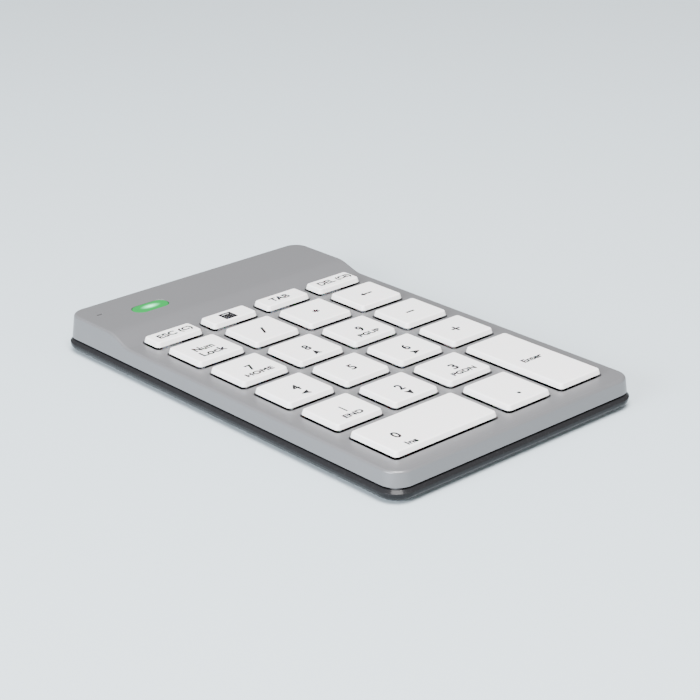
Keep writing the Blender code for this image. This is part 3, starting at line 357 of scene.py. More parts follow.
class Finish(Tree):
    """A material whose pattern is read from Object coordinates."""

    def __init__(self, name, base, roughness, metallic=0.0, **constants):
        material = bpy.data.materials.new(name)
        material.use_nodes = True
        super().__init__(material.node_tree)
        self.material = material
        self.shader = material.node_tree.nodes["Principled BSDF"]
        self.shader.inputs["Base Color"].default_value = (*base, 1.0)
        self.shader.inputs["Roughness"].default_value = roughness
        self.shader.inputs["Metallic"].default_value = metallic
        for key, value in constants.items():
            self.shader.inputs[key.replace("_", " ")].default_value = value
        self.base = base
        self.roughness = roughness
        material.diffuse_color = (*base, 1.0)

    def place(self, scale=(1.0, 1.0, 1.0)):
        spot = self.make("ShaderNodeTexCoord", output="Object")
        return self.make("ShaderNodeMapping", {}, {"Vector": spot, "Scale": scale})

    def noise(self, grain, detail=2.0, scale=(1.0, 1.0, 1.0), output="Fac"):
        """Noise whose features are about grain millimetres across."""
        return self.make("ShaderNodeTexNoise", {}, {
            "Vector": self.place(scale), "Scale": 1.0 / (grain * MM), "Detail": detail}, output)

    def link(self, name, value):
        self.data.links.new(value.socket, self.shader.inputs[name])

    def tint(self, share, other):
        """Vary the base colour towards another one."""
        self.link("Base Color", self.mix(share, self.base, other))

    def rough(self, value):
        self.link("Roughness", value)

    def bump(self, height, depth):
        """Relief of the given depth in millimetres."""
        self.link("Normal", self.make("ShaderNodeBump", {}, {
            "Height": height, "Strength": 1.0, "Distance": depth * MM}))


# ---------------------------------------------------------------- finishes

def shade(tone, factor):
    return tuple(min(1.0, part * factor) for part in tone)


def satin_paint(looks):
    finish = Finish("satin_paint", looks.cover, looks.cover_roughness, 0.22,
                    Coat_Weight=0.12, Coat_Roughness=0.3)
    flake = finish.noise(0.09, 1.0)
    cloud = finish.noise(14.0)
    finish.tint((flake - 0.5) * 0.9 + (cloud - 0.5) * 0.3 + 0.35, shade(looks.cover, 1.14))
    finish.rough(looks.cover_roughness + (finish.noise(0.4) - 0.5) * 0.10)
    finish.bump(finish.noise(0.16, 3.0), 0.004)
    return finish.material


def polished_black(looks):
    finish = Finish("polished_black", looks.tray, looks.tray_roughness,
                    Coat_Weight=0.07, Coat_Roughness=0.08, Specular_IOR_Level=0.08)
    dust = (finish.noise(0.5, 4.0) - 0.55).clamp() * 0.4
    finish.tint(dust, (0.10, 0.10, 0.10))
    finish.rough(looks.tray_roughness + finish.noise(6.0, 3.0) * 0.06)
    finish.bump(finish.noise(3.0), 0.006)
    return finish.material


def matt_white(looks):
    finish = Finish("matt_white", looks.key, looks.key_roughness,
                    Subsurface_Weight=0.05, Subsurface_Scale=0.0006)
    cloud = finish.noise(5.0)
    finish.tint(cloud * 0.5, shade(looks.key, 0.965))
    finish.rough(looks.key_roughness + (finish.noise(0.3) - 0.5) * 0.12)
    finish.bump(finish.noise(0.12, 3.0), 0.004)
    return finish.material


def printed_ink(looks):
    finish = Finish("printed_ink", looks.ink, 0.7, Specular_IOR_Level=0.12)
    finish.tint(finish.noise(0.4), shade(looks.ink, 1.6))
    finish.rough(0.65 + finish.noise(0.2) * 0.15)
    finish.bump(finish.noise(0.08), 0.002)
    return finish.material


def grained(name, tone, roughness, grain, depth, metallic=0.0, change=0.85, **constants):
    """Moulded or cast surface: a little cloud in the colour and a fine relief."""
    finish = Finish(name, tone, roughness, metallic, **constants)
    finish.tint(finish.noise(8 * grain), shade(tone, change))
    finish.rough(roughness + (finish.noise(3 * grain) - 0.5) * 0.12)
    finish.bump(finish.noise(grain, 3.0), depth)
    return finish.material


def brushed(name, tone, roughness, along=(0.04, 1.0, 1.0)):
    """Rolled or drawn metal with fine lines."""
    finish = Finish(name, tone, roughness, 1.0)
    lines = finish.noise(0.15, 4.0, along)
    finish.tint(lines, shade(tone, 0.8))
    finish.rough(roughness + (lines - 0.5) * 0.25)
    finish.bump(lines, 0.002)
    return finish.material


def lit_lens(looks):
    """Milky lens, brightest in the middle of the window and green towards its rim."""
    core_reach = 2.0 * MM
    flattening = (0.55, 1.2, 0.0)
    core_glow = (0.45, 1.5, 0.7)
    low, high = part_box("light_window")
    middle = (low + high) / 2
    finish = Finish("lit_lens", (0.0, 0.06, 0.015), 0.5, Specular_IOR_Level=0.1)
    spot = finish.make("ShaderNodeTexCoord", output="Object")
    away = finish.make("ShaderNodeVectorMath", {"operation": "SUBTRACT"}, {0: spot, 1: middle})
    flat = finish.make("ShaderNodeVectorMath", {"operation": "MULTIPLY"}, {0: away, 1: flattening})
    distance = finish.make("ShaderNodeVectorMath", {"operation": "LENGTH"}, {0: flat}, "Value")
    core = (1.0 - distance / core_reach).clamp() ** 1.6
    wave = finish.noise(2.2) * 0.3
    glow = finish.mix((core + wave * core).clamp(), looks.glow, core_glow)
    finish.link("Emission Color", glow)
    finish.shader.inputs["Emission Strength"].default_value = 1.6
    finish.tint(core, (0.1, 0.5, 0.3))
    finish.bump(finish.noise(0.5), 0.002)
    return finish.material


def clear_guide():
    finish = Finish("clear_guide", (0.80, 0.88, 0.84), 0.12)
    finish.tint(finish.noise(1.0), (0.72, 0.82, 0.78))
    finish.rough(0.10 + finish.noise(0.6) * 0.1)
    finish.bump(finish.noise(0.4), 0.003)
    return finish.material


def floor_paint(looks):
    finish = Finish("floor_paint", looks.floor, 0.75)
    finish.tint(finish.noise(300.0), shade(looks.floor, 0.97))
    finish.rough(0.7 + finish.noise(40.0) * 0.1)
    return finish.material


def make_finishes(looks):
    return {
        "satin": satin_paint(looks),
        "tray": polished_black(looks),
        "key": matt_white(looks),
        "ink": printed_ink(looks),
        "lens": lit_lens(looks),
        "floor": floor_paint(looks),
        "rubber": grained("soft_rubber", (0.022, 0.022, 0.023), 0.8, 0.2, 0.02),
        "foam": grained("sticky_foam", (0.035, 0.035, 0.035), 0.9, 0.35, 0.06),
        "black": grained("moulded_black", (0.028, 0.028, 0.030), 0.48, 0.12, 0.008),
        "chip": grained("chip_resin", (0.022, 0.022, 0.024), 0.55, 0.08, 0.008),
        "ivory": grained("moulded_ivory", (0.78, 0.75, 0.66), 0.5, 0.15, 0.006),
        "lamp": grained("lamp_body", (0.82, 0.80, 0.66), 0.35, 0.15, 0.004),
        # The mat's near black is painted shade: it darkens the gaps round the keys, where little
        # light reaches.
        "mat": grained("dark_silicone", (0.006, 0.006, 0.007), 0.8, 0.2, 0.01,
                       Specular_IOR_Level=0.1),
        "dome": grained("milky_silicone", (0.62, 0.63, 0.65), 0.5, 0.2, 0.006,
                        Subsurface_Weight=0.15, Subsurface_Scale=0.001),
        "film": grained("contact_film", (0.42, 0.47, 0.45), 0.28, 0.5, 0.003),
        "board": grained("board_green", (0.010, 0.105, 0.042), 0.38, 0.3, 0.006, Coat_Weight=0.3),
        "red": grained("lead_red", (0.48, 0.022, 0.018), 0.5, 0.2, 0.008),
        "foil": grained("battery_foil", (0.50, 0.50, 0.52), 0.34, 0.5, 0.03, 0.9),
        "screw": brushed("zinc_screw", (0.42, 0.42, 0.43), 0.38),
        "plate": brushed("rolled_plate", (0.52, 0.53, 0.54), 0.36),
        "socket": brushed("plated_shell", (0.60, 0.60, 0.61), 0.24, (1.0, 0.05, 1.0)),
        "wire": brushed("spring_wire", (0.56, 0.56, 0.58), 0.2),
        "gold": grained("gold_contact", (0.85, 0.60, 0.22), 0.25, 0.1, 0.002, 1.0),
        "guide": clear_guide(),
        "smoked": grained("smoked_guide", (0.012, 0.013, 0.013), 0.25, 0.4, 0.003),
    }


# ---------------------------------------------------------------- shapes

def new_object(bm, name):
    mesh = bpy.data.meshes.new(name)
    bm.to_mesh(mesh)
    bm.free()
    obj = bpy.data.objects.new(name, mesh)
    bpy.context.scene.collection.objects.link(obj)
    return obj


def outline(cx, cy, width, depth, radius, steps=CORNER_STEPS):
    """Rectangle with round corners, anticlockwise."""
    points = []
    for side_x, side_y, start in ((1, 1, 0), (-1, 1, 90), (-1, -1, 180), (1, -1, 270)):
        corner_x = cx + side_x * (width / 2 - radius)
        corner_y = cy + side_y * (depth / 2 - radius)
        for step in range(steps + 1):
            angle = math.radians(start + 90 * step / steps)
            points.append((corner_x + radius * math.cos(angle),
                           corner_y + radius * math.sin(angle)))
    return points


def ring(cx, cy, width, depth, radius, inset, z, steps=CORNER_STEPS):
    """The same outline set in, at height z; z may be a function of x and y."""
    radius = max(radius - inset, 0.02)
    level = z if callable(z) else lambda x, y: z
    return [(x, y, level(x, y))
            for x, y in outline(cx, cy, width - 2 * inset, depth - 2 * inset, radius, steps)]


def loft(name, rings):
    """Closed skin through rings of the same count, with flat ends."""
    bm = bmesh.new()
    rows = [[bm.verts.new((x * MM, y * MM, z * MM)) for x, y, z in points] for points in rings]
    for low, high in zip(rows, rows[1:]):
        for index, vertex in enumerate(low):
            after = (index + 1) % len(low)
            bm.faces.new((vertex, low[after], high[after], high[index]))
    bm.faces.new(rows[0][::-1])
    bm.faces.new(rows[-1])
    return new_object(bm, name)


def turned(name, x, y, profile, steps=POST_STEPS):
    """Round upright piece from a profile of (radius, height) that starts at its foot."""
    angles = [2 * math.pi * step / steps for step in range(steps)]
    return loft(name, [[(x + radius * math.cos(angle), y + radius * math.sin(angle), z)
                        for angle in angles] for radius, z in profile])


def post(x, y, z0, z1, radius, steps=POST_STEPS):
    return turned("post", x, y, [(radius, z0), (radius, z1)], steps)


def box(name, x0, x1, y0, y1, z0, z1):
    bm = bmesh.new()
    bmesh.ops.create_cube(bm, size=1.0)
    bmesh.ops.scale(bm, vec=((x1 - x0) * MM, (y1 - y0) * MM, (z1 - z0) * MM), verts=bm.verts)
    middle = ((x0 + x1) / 2 * MM, (y0 + y1) / 2 * MM, (z0 + z1) / 2 * MM)
    bmesh.ops.translate(bm, vec=middle, verts=bm.verts)
    return new_object(bm, name)


def weld(bm):
    bmesh.ops.remove_doubles(bm, verts=bm.verts, dist=1e-7)
    bmesh.ops.recalc_face_normals(bm, faces=bm.faces)


def flat_curve(name, outlines, z0, z1):
    """Solid from closed flat outlines; an outline inside another one is a hole."""
    curve = bpy.data.curves.new(name, "CURVE")
    curve.dimensions = "2D"
    curve.fill_mode = "BOTH"
    curve.extrude = (z1 - z0) / 2 * MM
    for points in outlines:
        spline = curve.splines.new("POLY")
        spline.points.add(len(points) - 1)
        for point, (x, y) in zip(spline.points, points):
            point.co = (x * MM, y * MM, 0.0, 1.0)
        spline.use_cyclic_u = True
    return curve_to_mesh(curve, name, Matrix.Translation((0, 0, (z0 + z1) / 2 * MM)))


def curve_to_mesh(curve, name, matrix):
    """Welded mesh object of a curve or text, with its place in its vertices."""
    holder = bpy.data.objects.new(name, curve)
    bpy.context.scene.collection.objects.link(holder)
    bpy.context.view_layer.update()
    graph = bpy.context.evaluated_depsgraph_get()
    mesh = bpy.data.meshes.new_from_object(holder.evaluated_get(graph))
    bpy.data.objects.remove(holder, do_unlink=True)
    bm = bmesh.new()
    bm.from_mesh(mesh)
    bmesh.ops.transform(bm, matrix=matrix, verts=bm.verts)
    weld(bm)
    return new_object(bm, name)


def carried(name, points, start, end, along):
    """Upright outline carried along X (points are Y, Z) or along Y (points are X, Z)."""
    obj = flat_curve(name, [points], start, end)
    bm = bmesh.new()
    bm.from_mesh(obj.data)
    for vertex in bm.verts:
        flat, height, far = vertex.co
        vertex.co = (far, flat, height) if along == "X" else (flat, far, height)
    bmesh.ops.recalc_face_normals(bm, faces=bm.faces)
    bm.to_mesh(obj.data)
    bm.free()
    return obj


def gather(name, pieces):
    bm = bmesh.new()
    for piece in pieces:
        bm.from_mesh(piece.data)
        bpy.data.objects.remove(piece, do_unlink=True)
    return new_object(bm, name)


def apply(obj):
    """Make an object's evaluated shape its plain mesh."""
    bpy.context.view_layer.update()
    graph = bpy.context.evaluated_depsgraph_get()
    mesh = bpy.data.meshes.new_from_object(obj.evaluated_get(graph))
    obj.modifiers.clear()
    obj.data = mesh
    return obj


def boolean(target, tool, operation):
    modifier = target.modifiers.new(operation.lower(), "BOOLEAN")
    modifier.operation = operation
    modifier.solver = "EXACT"
    modifier.object = tool
    apply(target)
    bpy.data.objects.remove(tool, do_unlink=True)
    return target


def cut(target, tool):
    return boolean(target, tool, "DIFFERENCE")


def fuse(target, tool):
    return boolean(target, tool, "UNION")


def soften(obj, width, segments, angle=50.0):
    """Round the edges that are sharper than an angle."""
    modifier = obj.modifiers.new("edge", "BEVEL")
    modifier.width = width * MM
    modifier.segments = segments
    modifier.limit_method = "ANGLE"
    modifier.angle_limit = math.radians(angle)
    modifier.use_clamp_overlap = False
    return apply(obj)


def settle(obj, name, finish, body, stands_for=(), sharp=32.0, weighted=False):
    """Name a finished piece, give it its finish and tie it to its body."""
    obj.name = name
    obj.data.name = name
    obj.data.materials.clear()
    obj.data.materials.append(FINISHES[finish])
    obj.data.polygons.foreach_set("material_index", [0] * len(obj.data.polygons))
    obj.data.shade_smooth()
    obj.data.set_sharp_from_angle(angle=math.radians(sharp))
    if weighted:
        modifier = obj.modifiers.new("flat_faces", "WEIGHTED_NORMAL")
        modifier.keep_sharp = True
        modifier.weight = 80
        apply(obj)
        obj.data.name = name
    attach(obj, body)
    if stands_for:
        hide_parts(*stands_for)
    return obj


# ---------------------------------------------------------------- grown shapes

class Growth(Tree):
    """A geometry node group whose named inputs hold the sizes of what it grows."""

    def __init__(self, name, sizes):
        super().__init__(bpy.data.node_groups.new(name, "GeometryNodeTree"))
        face = self.data.interface
        face.new_socket("Geometry", in_out="INPUT", socket_type="NodeSocketGeometry")
        face.new_socket("Geometry", in_out="OUTPUT", socket_type="NodeSocketGeometry")
        self.keys = {}
        for label, default in sizes.items():
            kind = "NodeSocketInt" if isinstance(default, int) else "NodeSocketFloat"
            item = face.new_socket(label, in_out="INPUT", socket_type=kind)
            item.default_value = default
            self.keys[label] = item.identifier
        self.entry = self.data.nodes.new("NodeGroupInput")

    def __getitem__(self, label):
        return Value(self, self.entry.outputs[label])

    def vector(self, x=0.0, y=0.0, z=0.0):
        return self.make("ShaderNodeCombineXYZ", {}, {"X": x, "Y": y, "Z": z})

    def moved(self, geometry, place=None, turn=None):
        inputs = {"Geometry": geometry}
        if place:
            inputs["Translation"] = place
        if turn:
            inputs["Rotation"] = turn
        return self.make("GeometryNodeTransform", {}, inputs)

    def join(self, *parts):
        return self.make("GeometryNodeJoinGeometry", {}, {"Geometry": list(parts)})

    def block(self, size):
        return self.make("GeometryNodeMeshCube", {}, {"Size": size})

    def round_bar(self, radius, depth, steps):
        return self.make("GeometryNodeMeshCylinder", {}, {
            "Vertices": steps, "Radius": radius, "Depth": depth})

    def cone(self, foot, top, height):
        return self.make("GeometryNodeMeshCone", {}, {
            "Vertices": self["Steps"], "Radius Top": top, "Radius Bottom": foot, "Depth": height})

    def raised(self, geometry, height):
        return self.moved(geometry, place=self.vector(z=height))

    def repeated(self, points, piece):
        return self.make("GeometryNodeInstanceOnPoints", {}, {"Points": points, "Instance": piece})

    def without(self, body, *tools):
        return self.make("GeometryNodeMeshBoolean", {"operation": "DIFFERENCE"},
                         {"Mesh 1": body, "Mesh 2": list(tools)})

    def close(self, geometry, finish):
        """Last nodes: real geometry with its finish."""
        real = self.make("GeometryNodeRealizeInstances", {}, {"Geometry": geometry})
        painted = self.make("GeometryNodeSetMaterial", {}, {
            "Geometry": real, "Material": FINISHES[finish]})
        end = self.data.nodes.new("NodeGroupOutput")
        self.data.links.new(painted.socket, end.inputs[0])
        return self


def frame_growth():
    """Two crossing frames, the wider one leaning the other way."""
    tree = Growth("scissor", {"Length": 0.0, "Wide": 0.0, "Narrow": 0.0, "Bar": 0.0, "Rise": 0.0})
    lean = tree.math("ARCTAN2", tree["Rise"], tree["Length"])
    section = tree.make("GeometryNodeCurvePrimitiveQuadrilateral", {}, {
        "Width": tree["Bar"], "Height": tree["Bar"]})
    frames = []
    for width, turn in ((tree["Wide"], lean), (tree["Narrow"], 0.0 - lean)):
        path = tree.make("GeometryNodeCurvePrimitiveQuadrilateral", {}, {
            "Width": tree["Length"], "Height": width})
        path = tree.make("GeometryNodeFilletCurve", {}, {"Curve": path, "Radius": tree["Bar"]})
        solid = tree.make("GeometryNodeCurveToMesh", {}, {"Curve": path, "Profile Curve": section})
        frames.append(tree.moved(solid, turn=tree.vector(y=turn)))
    return tree.close(tree.join(*frames), "black")


def dome_growth():
    """Hollow rubber dome with its foot at the origin."""
    tree = Growth("dome", {"Foot": 0.0, "Crown": 0.0, "Height": 0.0, "Wall": 0.0, "Steps": 40})
    outside = tree.cone(tree["Foot"], tree["Crown"], tree["Height"])
    hollow = tree.cone(tree["Foot"] - tree["Wall"], tree["Crown"] - tree["Wall"], tree["Height"])
    hollow = tree.raised(hollow, tree["Wall"] * -2.0)
    return tree.close(tree.without(outside, hollow), "dome")


def screw_growth():
    """Cross-headed screw with its head's underside at the origin and its shank upwards."""
    tree = Growth("screw", {"Head": 0.0, "Head height": 0.0, "Shank": 0.0, "Length": 0.0,
                            "Pitch": 0.0, "Slot": 0.0, "Slot width": 0.0, "Slot depth": 0.0,
                            "Steps": 36})
    taper, thread_share, thread_start, ridge_share = 0.86, 0.84, 0.1, 0.24
    sink = tree["Head height"] * -1.0
    head = tree.raised(tree.cone(tree["Head"] * taper, tree["Head"], tree["Head height"]), sink)
    arms = []
    for along, across in ((tree["Slot"] * 2.0, tree["Slot width"]),
                          (tree["Slot width"], tree["Slot"] * 2.0)):
        arm = tree.block(tree.vector(along, across, tree["Slot depth"] * 2.0))
        arms.append(tree.raised(arm, sink))
    shank = tree.raised(tree.round_bar(tree["Shank"], tree["Length"], tree["Steps"]),
                        tree["Length"] * 0.5 - 0.01 * MM)
    threaded = tree["Length"] * thread_share
    coil = tree.make("GeometryNodeCurveSpiral", {}, {
        "Resolution": 24, "Rotations": threaded / tree["Pitch"], "Height": threaded,
        "Start Radius": tree["Shank"], "End Radius": tree["Shank"]})
    ridge = tree.make("GeometryNodeCurvePrimitiveCircle", {}, {
        "Resolution": 4, "Radius": tree["Pitch"] * ridge_share})
    thread = tree.make("GeometryNodeCurveToMesh", {}, {
        "Curve": coil, "Profile Curve": ridge, "Fill Caps": True})
    thread = tree.raised(thread, tree["Length"] * thread_start)
    return tree.close(tree.join(tree.without(head, *arms), shank, thread), "screw")


def row_growth(finish):
    """Row of equal blocks along X, centred on the origin."""
    tree = Growth("row_" + finish, {"Count": 2, "Pitch": 0.0, "Width": 0.0, "Depth": 0.0,
                                    "Height": 0.0})
    start = (tree["Count"] - 1.0) * tree["Pitch"] * -0.5
    line = tree.make("GeometryNodeMeshLine", {}, {
        "Count": tree["Count"], "Start Location": tree.vector(x=start),
        "Offset": tree.vector(x=tree["Pitch"])})
    block = tree.block(tree.vector(tree["Width"], tree["Depth"], tree["Height"]))
    return tree.close(tree.repeated(line, block), finish)


def ring_growth():
    """Contact ring with a pad in its middle at every point it is given."""
    tree = Growth("contacts", {"Ring": 0.0, "Pad": 0.0, "Line": 0.0, "Height": 0.0, "Steps": 28})
    points = Value(tree, tree.entry.outputs[0])
    outer = tree.round_bar(tree["Ring"], tree["Height"], tree["Steps"])
    inner = tree.round_bar(tree["Ring"] - tree["Line"], tree["Height"] * 2.0, tree["Steps"])
    pad = tree.round_bar(tree["Pad"], tree["Height"], tree["Steps"])
    mark = tree.join(tree.without(outer, inner), pad)
    return tree.close(tree.repeated(points, mark), "ink")


def grown(tree, sizes, matrix, points=()):
    """Plain mesh object of a growth, with its place in its vertices. Lengths are in millimetres."""
    bm = bmesh.new()
    for point in points:
        bm.verts.new(Vector(point) * MM)
    obj = new_object(bm, "grown")
    modifier = obj.modifiers.new("growth", "NODES")
    modifier.node_group = tree.data
    for label, value in sizes.items():
        modifier[tree.keys[label]] = value if isinstance(value, int) else value * MM
    apply(obj)
    bm = bmesh.new()
    bm.from_mesh(obj.data)
    bmesh.ops.transform(bm, matrix=matrix, verts=bm.verts)
    weld(bm)
    bm.to_mesh(obj.data)
    bm.free()
    return obj


def at(x, y, z, turn=0.0):
    """Matrix of a place in millimetres and a turn about Z in degrees."""
    return Matrix.Translation(Vector((x, y, z)) * MM) @ Matrix.Rotation(math.radians(turn), 4, "Z")


# ---------------------------------------------------------------- casing

def ramp_share(share):
    return (1 - math.cos(math.pi * share)) / 2


def surface(x, y):
    """Level of the cover's upper surface, in the same straight steps as its mesh."""
    share = min(max((y - RAMP_START) / RAMP_LENGTH, 0.0), 1.0) * RAMP_STEPS
    low = math.floor(share)
    part = share - low
    rise = ramp_share(low / RAMP_STEPS)
    if part:
        rise += (ramp_share((low + 1) / RAMP_STEPS) - rise) * part
    return Z_DECK + HUMP_RISE * rise


def cover_solid(inset, drop, z_low):
    """Block with the cover's outline and raised back, set in and lowered."""
    reach = COVER_DEPTH - inset
    profile = [(-reach, z_low), (reach, z_low), (reach, Z_HUMP - drop)]
    for step in range(RAMP_STEPS, -1, -1):
        y = RAMP_START + RAMP_LENGTH * step / RAMP_STEPS
        profile.append((y, Z_DECK + HUMP_RISE * ramp_share(step / RAMP_STEPS) - drop))
    profile.append((-reach, Z_DECK - drop))
    solid = carried("cover_block", profile, -COVER_WIDTH, COVER_WIDTH, "X")
    rings = []
    for z in (Z_SEAM - DRAFT_HEIGHT, Z_HUMP + DRAFT_HEIGHT):
        lean = inset + COVER_DRAFT * (z - Z_SEAM) / DRAFT_HEIGHT
        rings.append(ring(0, 0, COVER_WIDTH, COVER_DEPTH, CORNER_RADIUS, lean, z))
    return boolean(solid, loft("cover_plan", rings), "INTERSECT")


def opening_of(key):
    """Centre and size of a key's opening in the deck."""
    low, high = span(key)
    return ((low.x + high.x) / 2, (low.y + high.y) / 2,
            high.x - low.x + 2 * KEY_GAP, high.y - low.y + 2 * KEY_GAP)


def flared_hole(cx, cy, width, depth, radius, z_low, edge, steps):
    """Cutter whose upper end opens out in a quarter round that follows the cover's surface."""
    shape = (cx, cy, width, depth, radius)
    rings = [ring(*shape, 0.0, z_low, steps)]
    for step in range(FLARE_STEPS + 1):
        angle = math.radians(90 * step / FLARE_STEPS)
        grow = -edge * (1 - math.cos(angle))
        lift = edge * (math.sin(angle) - 1)
        rings.append(ring(*shape, grow,
                          lambda x, y, lift=lift: surface(x, y) + lift + SURFACE_CLEAR, steps))
    rings.append(ring(*shape, -edge, Z_HUMP + HUMP_RISE, steps))
    return loft("hole", rings)


def middle_of(node):
    low, high = span(node)
    return (low + high) / 2


def pill_hole(node, width, depth, flare, steps):
    """Round-ended opening through the hump, over a frame node."""
    middle = middle_of(node)
    return flared_hole(middle.x, middle.y, width, depth, depth / 2 - END_SLACK,
                       Z_HUMP_ROOF - GAP, flare, steps)


def pill_block(x, z, width, height, front, back):
    """Round-ended block that runs from front to back."""
    shape = outline(x, z, width, height, height / 2 - END_SLACK, PILL_STEPS)
    return carried("slot", shape, front, back, "Y")


def screw_places():
    places = []
    for name in SCREWS:
        low, high = span(name)
        places.append(((low.x + high.x) / 2, (low.y + high.y) / 2))
    return places


def screw_posts(name, z0, z1, radius):
    """One upright round piece on each screw's axis."""
    return gather(name, [post(x, y, z0, z1, radius) for x, y in screw_places()])


class BuildCover(bpy.types.Operator):
    """Make the satin cover with its key openings, ports and screw bosses"""

    bl_idname = "keypad.cover"
    bl_label = "Cover"

    def execute(self, context):
        sizes = context.scene.keypad_sizes
        cover = cover_solid(0.0, 0.0, Z_SEAM - DRAFT_HEIGHT / 2)
        soften(cover, sizes.cover_edge / MM, COVER_EDGE_STEPS)
        cut(cover, box("trim", -COVER_WIDTH, COVER_WIDTH, -COVER_DEPTH, COVER_DEPTH,
                       Z_SEAM - DRAFT_HEIGHT, Z_SEAM))
        cut(cover, cover_solid(COVER_WALL, DECK_THICKNESS, Z_SEAM - DRAFT_HEIGHT))
        holes = [flared_hole(*opening_of(key), OPENING_RADIUS, Z_DECK - DECK_THICKNESS - GAP,
                             sizes.opening_edge / MM, KEY_CORNER_STEPS) for key in KEY_NAMES]
        cut(cover, gather("openings", holes))
        self.add_bosses(cover)
        cut(cover, self.port_holes())
        settle(cover, "cover", "satin", "casing", ["top_cover"], weighted=True)
        return {"FINISHED"}

    def add_bosses(self, cover):
        bosses = [post(x, y, Z_POST + GAP, surface(x, y) - DECK_THICKNESS / 2, BOSS_RADIUS)
                  for x, y in screw_places()]
        fuse(cover, gather("bosses", bosses))
        cut(cover, screw_posts("pilots", Z_POST, span(SCREWS[0])[1].z + GAP, SHANK_ROOM))

    def port_holes(self):
        """Light window, lamp slot, charging socket and power switch."""
        inside = BACK - COVER_WALL - 2 * COVER_DRAFT - GAP
        outside = BACK + RIM_PROUD
        width, depth = WINDOW_PLUG
        low, high = span("usb_socket")
        socket = (low + high) / 2
        knob = middle_of("power_knob")
        return gather("ports", [
            pill_hole("light_window", width + 2 * WINDOW_GAP, depth + 2 * WINDOW_GAP, WINDOW_FLARE,
                      WINDOW_STEPS),
            pill_hole("status_light_guide", *LAMP_SLOT, LAMP_SLOT_FLARE, SLOT_STEPS),
            pill_block(socket.x, socket.z, high.x - low.x + 2 * GAP, high.z - low.z + 2 * GAP,
                       inside, outside),
            pill_block(knob.x - KNOB_TRAVEL / 2, knob.z, *KNOB_SLOT, inside, outside)])


class BuildTray(bpy.types.Operator):
    """Make the polished tray with its sloping ledge, lip, ribs and screw posts"""

    bl_idname = "keypad.tray"
    bl_label = "Tray"

    def execute(self, context):
        tray = loft("tray", self.rings())
        outer, inner = [outline(0, 0, 2 * (TRAY_HIGH.x - inset), 2 * (TRAY_HIGH.y - inset),
                                TRAY_RADIUS - inset) for inset in (LIP_INSET, TRAY_WALL)]
        fuse(tray, flat_curve("lip", [outer, inner], Z_FLOOR, Z_LIP))
        cut(tray, flat_curve("hollow", [inner], Z_FLOOR, Z_LIP + GAP))
        fuse(tray, gather("ribs", self.ribs()))
        fuse(tray, screw_posts("posts", Z_FLOOR - POST_ROOT, Z_POST, POST_RADIUS))
        cut(tray, screw_posts("boss_room", Z_POST, Z_LIP + GAP, BOSS_RADIUS + GAP))
        cut(tray, screw_posts("shank_room", Z_FLOOR, Z_POST + GAP, SHANK_ROOM))
        cut(tray, screw_posts("head_room", Z_UNDER - GAP, Z_UNDER + HEAD_ROOM_DEPTH, HEAD_ROOM))
        cut(tray, gather("foot_room", self.foot_recesses()))
        cut(tray, gather("notches", self.notches()))
        settle(tray, "tray", "tray", "casing", ["bottom_tray"], weighted=True)
        return {"FINISHED"}

    def rings(self):
        """From the underside round to the widest line and up the sloping ledge to the seam."""
        shape = (0, 0, 2 * TRAY_HIGH.x, 2 * TRAY_HIGH.y, TRAY_RADIUS)
        profile = [(TRAY_ROUND + GAP, Z_UNDER)]
        for step in range(TRAY_STEPS + 1):
            angle = math.radians(90 * step / TRAY_STEPS)
            profile.append((TRAY_ROUND * (1 - math.sin(angle)),
                            Z_UNDER + TRAY_ROUND * (1 - math.cos(angle))))
        edge = Z_RIM - LEDGE_DROP - LEDGE_ROUND
        for step in range(LEDGE_STEPS + 1):
            angle = math.radians(LEDGE_TURN * step / LEDGE_STEPS)
            profile.append((LEDGE_ROUND * (1 - math.cos(angle)),
                            edge + LEDGE_ROUND * math.sin(angle)))
        profile += [(LEDGE_INNER - SEAM_BREAK[0], Z_RIM - SEAM_BREAK[1]), (LEDGE_INNER, Z_RIM),
                    (LEDGE_INNER + GAP, Z_RIM)]
        return [ring(*shape, inset, z) for inset, z in profile]

    def ribs(self):
        half = TRAY_HIGH.x - TRAY_WALL + GAP
        pieces = []
        for key in RIB_ROWS:
            y = span(key)[1].y + KEY_GAP + STRIP / 2
            pieces.append(box("rib", -half, half, y - RIB_WIDTH / 2, y + RIB_WIDTH / 2,
                              Z_FLOOR - GAP, Z_RIB))
        low, high = span("circuit_board")
        for share in STANDOFF_SHARES:
            pieces.append(post(low.x + (high.x - low.x) * share, (low.y + high.y) / 2,
                               Z_FLOOR - GAP, low.z - GAP, STANDOFF_RADIUS))
        return pieces

    def foot_recesses(self):
        pieces = []
        for foot in FEET:
            low, high = span(foot)
            middle = (low + high) / 2
            shape = outline(middle.x, middle.y, high.x - low.x + 2 * GAP, high.y - low.y + 2 * GAP,
                            FOOT_RADIUS)
            pieces.append(flat_curve("recess", [shape], Z_UNDER - GAP, Z_UNDER + FOOT_RECESS))
        return pieces

    def notches(self):
        front = BACK - TRAY_WALL - 2 * LIP_THICKNESS
        back = BACK - COVER_WALL
        pieces = []
        for node, spare in (("usb_socket", 0.0), ("power_knob", KNOB_TRAVEL / 2)):
            low, high = span(node)
            pieces.append(box("notch", low.x - spare - GAP, high.x + GAP, front, back,
                              low.z - GAP, Z_LIP + GAP))
        return pieces


# ---------------------------------------------------------------- keys and legends

def arrow(cx, cy, size, turn):
    """Small arrowhead with a notched base."""
    half = size / 2
    shape = [(0, half), (-0.85 * half, -half), (0, -0.6 * half), (0.85 * half, -half)]
    angle = math.radians(turn)
    return [(cx + x * math.cos(angle) - y * math.sin(angle),
             cy + x * math.sin(angle) + y * math.cos(angle)) for x, y in shape]


def bar(cx, cy, width, height):
    return [(cx - width / 2, cy - height / 2), (cx + width / 2, cy - height / 2),
            (cx + width / 2, cy + height / 2), (cx - width / 2, cy + height / 2)]


